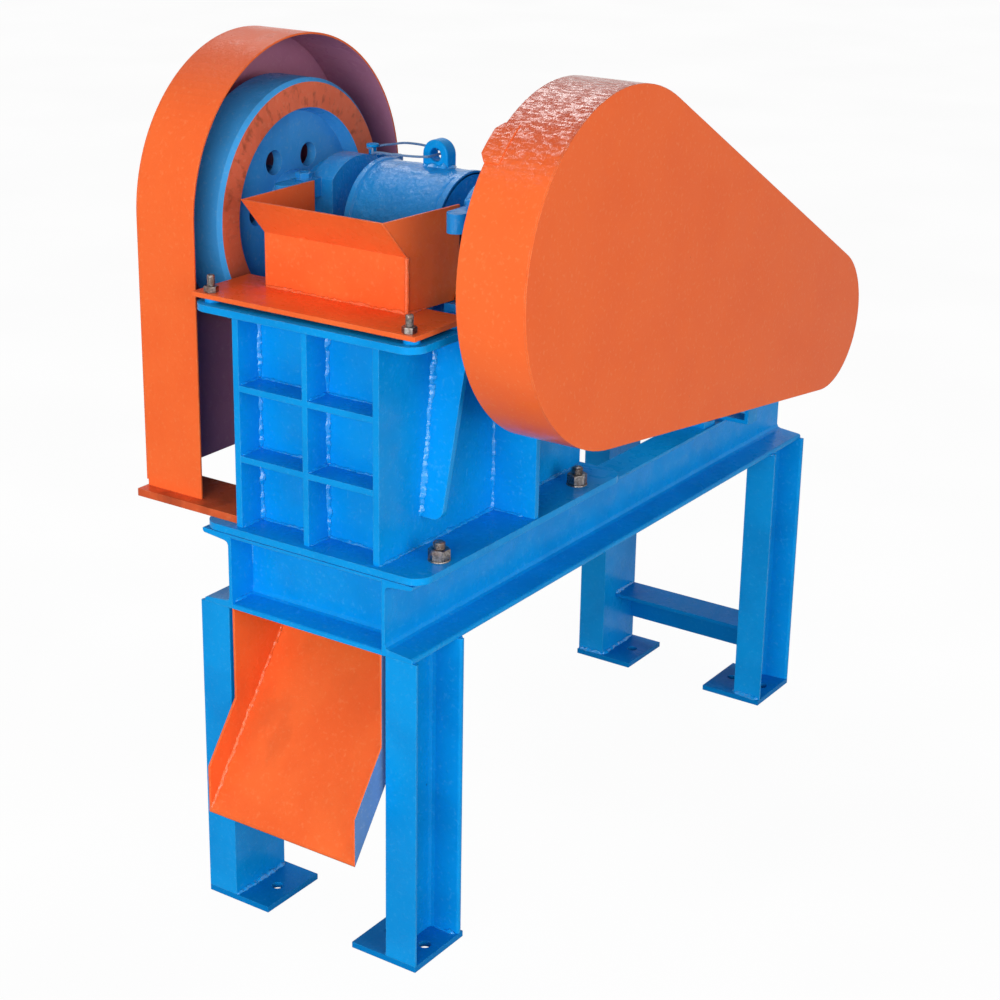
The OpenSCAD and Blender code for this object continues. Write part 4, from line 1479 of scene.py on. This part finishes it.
@dataclass
class Chute:
    """Discharge chute.

    Attributes:
        paints: The materials.
        slope: Slope of the floor, in degrees from level.
        sheet: Thickness of the sheet, in millimetres.
    """

    paints: Paints
    slope: float = 54.0
    sheet: float = 3.0

    def build(self) -> None:
        """Dresses the chute and adds the seam welds in its corners."""
        dress(self.paints.chute, "chute_floor", "chute_sides")
        floor, slope = CadBox.of("chute_floor"), math.radians(self.slope)
        y0, y1 = floor.low.y, floor.high.y - self.sheet
        z0 = floor.low.z + self.sheet / math.cos(slope)
        z1 = z0 + (y1 - y0) * math.tan(slope)
        up = (0, -math.sin(slope), math.cos(slope))
        welds = [Weld((-hand * floor.low.x, y0, z0), (-hand * floor.low.x, y1, z1), (-hand, 0, 0), up, 3.2,
                      5.5) for hand in SIDES]
        weld_piece("chute_welds", welds, self.paints.orange_weld, Slot.ORANGE)


# ---------------------------------------------------------------- studio


@dataclass(frozen=True)
class Lamp:
    """A soft box.

    Attributes:
        name: Its name.
        at: Where it hangs, in metres.
        aim: What it shines on.
        size: Its width and height.
        watts: Its power.
    """

    name: str
    at: tuple[float, float, float]
    aim: tuple[float, float, float]
    size: tuple[float, float]
    watts: float

    def build(self) -> None:
        """Hangs the lamp."""
        data = bpy.data.lights.new(self.name, "AREA")
        data.shape, data.size, data.size_y, data.energy = "RECTANGLE", *self.size, self.watts
        lamp = bpy.data.objects.new(self.name, data)
        lamp.location = self.at
        lamp.rotation_euler = (Vector(self.aim) - Vector(self.at)).to_track_quat("-Z", "Y").to_euler()
        bpy.context.scene.collection.objects.link(lamp)


# Two large boxes light the front and the right, and narrow strips give the upper edges their glints.
BODY_MIDDLE, HEAD_TOP = (0, 0, 0.6), (0.2, -0.3, 0.95)
LAMPS = (Lamp("front_box", (1.1, -4.2, 1.3), BODY_MIDDLE, (3.2, 2.2), 122),
         Lamp("side_box", (4.0, -1.4, 1.3), BODY_MIDDLE, (3.0, 2.2), 70),
         Lamp("high_strip", (-1.35, 0.26, 3.35), HEAD_TOP, (1.5, 0.4), 14),
         Lamp("rear_strip", (-1.35, 1.43, 2.77), HEAD_TOP, (1.5, 0.4), 14),
         Lamp("low_strip", (-1.35, -1.09, 3.29), HEAD_TOP, (1.5, 0.2), 5))


@dataclass
class Studio:
    """Camera, floor, world and lamps, in metres."""

    eye: tuple[float, float, float] = (1.49642, -2.35428, 1.49179)
    target: tuple[float, float, float] = (0.00005, -0.21996, 0.57814)
    roll: float = 0.52
    lens: float = 75.153
    film: float = 36.0
    far: float = 100.0
    shift: tuple[float, float] = (0.0539, -0.05)
    floor_half: float = 40.0
    fill: float = 0.29

    def camera(self) -> None:
        """Sets the camera."""
        data = bpy.data.cameras.new("camera")
        data.lens, data.sensor_width, data.clip_end = self.lens, self.film, self.far
        data.shift_x, data.shift_y = self.shift
        camera = bpy.data.objects.new("camera", data)
        aim = (Vector(self.target) - Vector(self.eye)).to_track_quat("-Z", "Y").to_matrix().to_4x4()
        turn = Matrix.Rotation(math.radians(self.roll), 4, "Z")
        camera.matrix_world = Matrix.Translation(self.eye) @ aim @ turn
        bpy.context.scene.collection.objects.link(camera)
        bpy.context.scene.camera = camera

    def floor(self) -> None:
        """Lays the floor."""
        mesh = bpy.data.meshes.new("studio_floor")
        h = self.floor_half
        mesh.from_pydata([(-h, -h, 0), (h, -h, 0), (h, h, 0), (-h, h, 0)], [], [(0, 1, 2, 3)])
        mesh.materials.append(PaleFloor().build())
        floor = bpy.data.objects.new("studio_floor", mesh)
        bpy.context.scene.collection.objects.link(floor)

    def world(self) -> None:
        """Makes the surroundings white where they are seen and a plain fill elsewhere."""
        bpy.context.scene.world = bpy.data.worlds.new("studio")
        shader = Shader(bpy.context.scene.world)
        power = shader.node("MapRange", {"Value": shader.seen(), "To Min": self.fill, "To Max": 1.0})
        shader.node("OutputWorld", {"Surface": shader.node("Background", [WHITE, power])})

    def build(self) -> None:
        """Makes everything round the object."""
        self.camera()
        self.floor()
        self.world()
        for lamp in LAMPS:
            lamp.build()
        bpy.context.scene.view_settings.view_transform = "Standard"


def main() -> None:
    """Builds the studio and every sub-assembly in order."""
    logging.basicConfig(level=logging.INFO, format="%(message)s")
    Studio().build()
    wheel, small = CadBox.of("flywheel").mid, CadBox.of("motor_pulley").mid
    paints = Paints((wheel.y, wheel.z))
    parts: list[Callable[[], None]] = [
        Stand(paints).build,
        Body(paints).build,
        JawAndShaft(paints, wheel.y, wheel.z).build,
        Flywheel(paints).build,
        Hopper(paints).build,
        Guards(paints, wheel).build,
        BeltDrive(paints, (wheel.y, wheel.z), (small.y, small.z)).build,
        Motor(paints).build,
        Chute(paints).build,
    ]
    for build in parts:
        build()


if __name__ == "__main__":
    main()
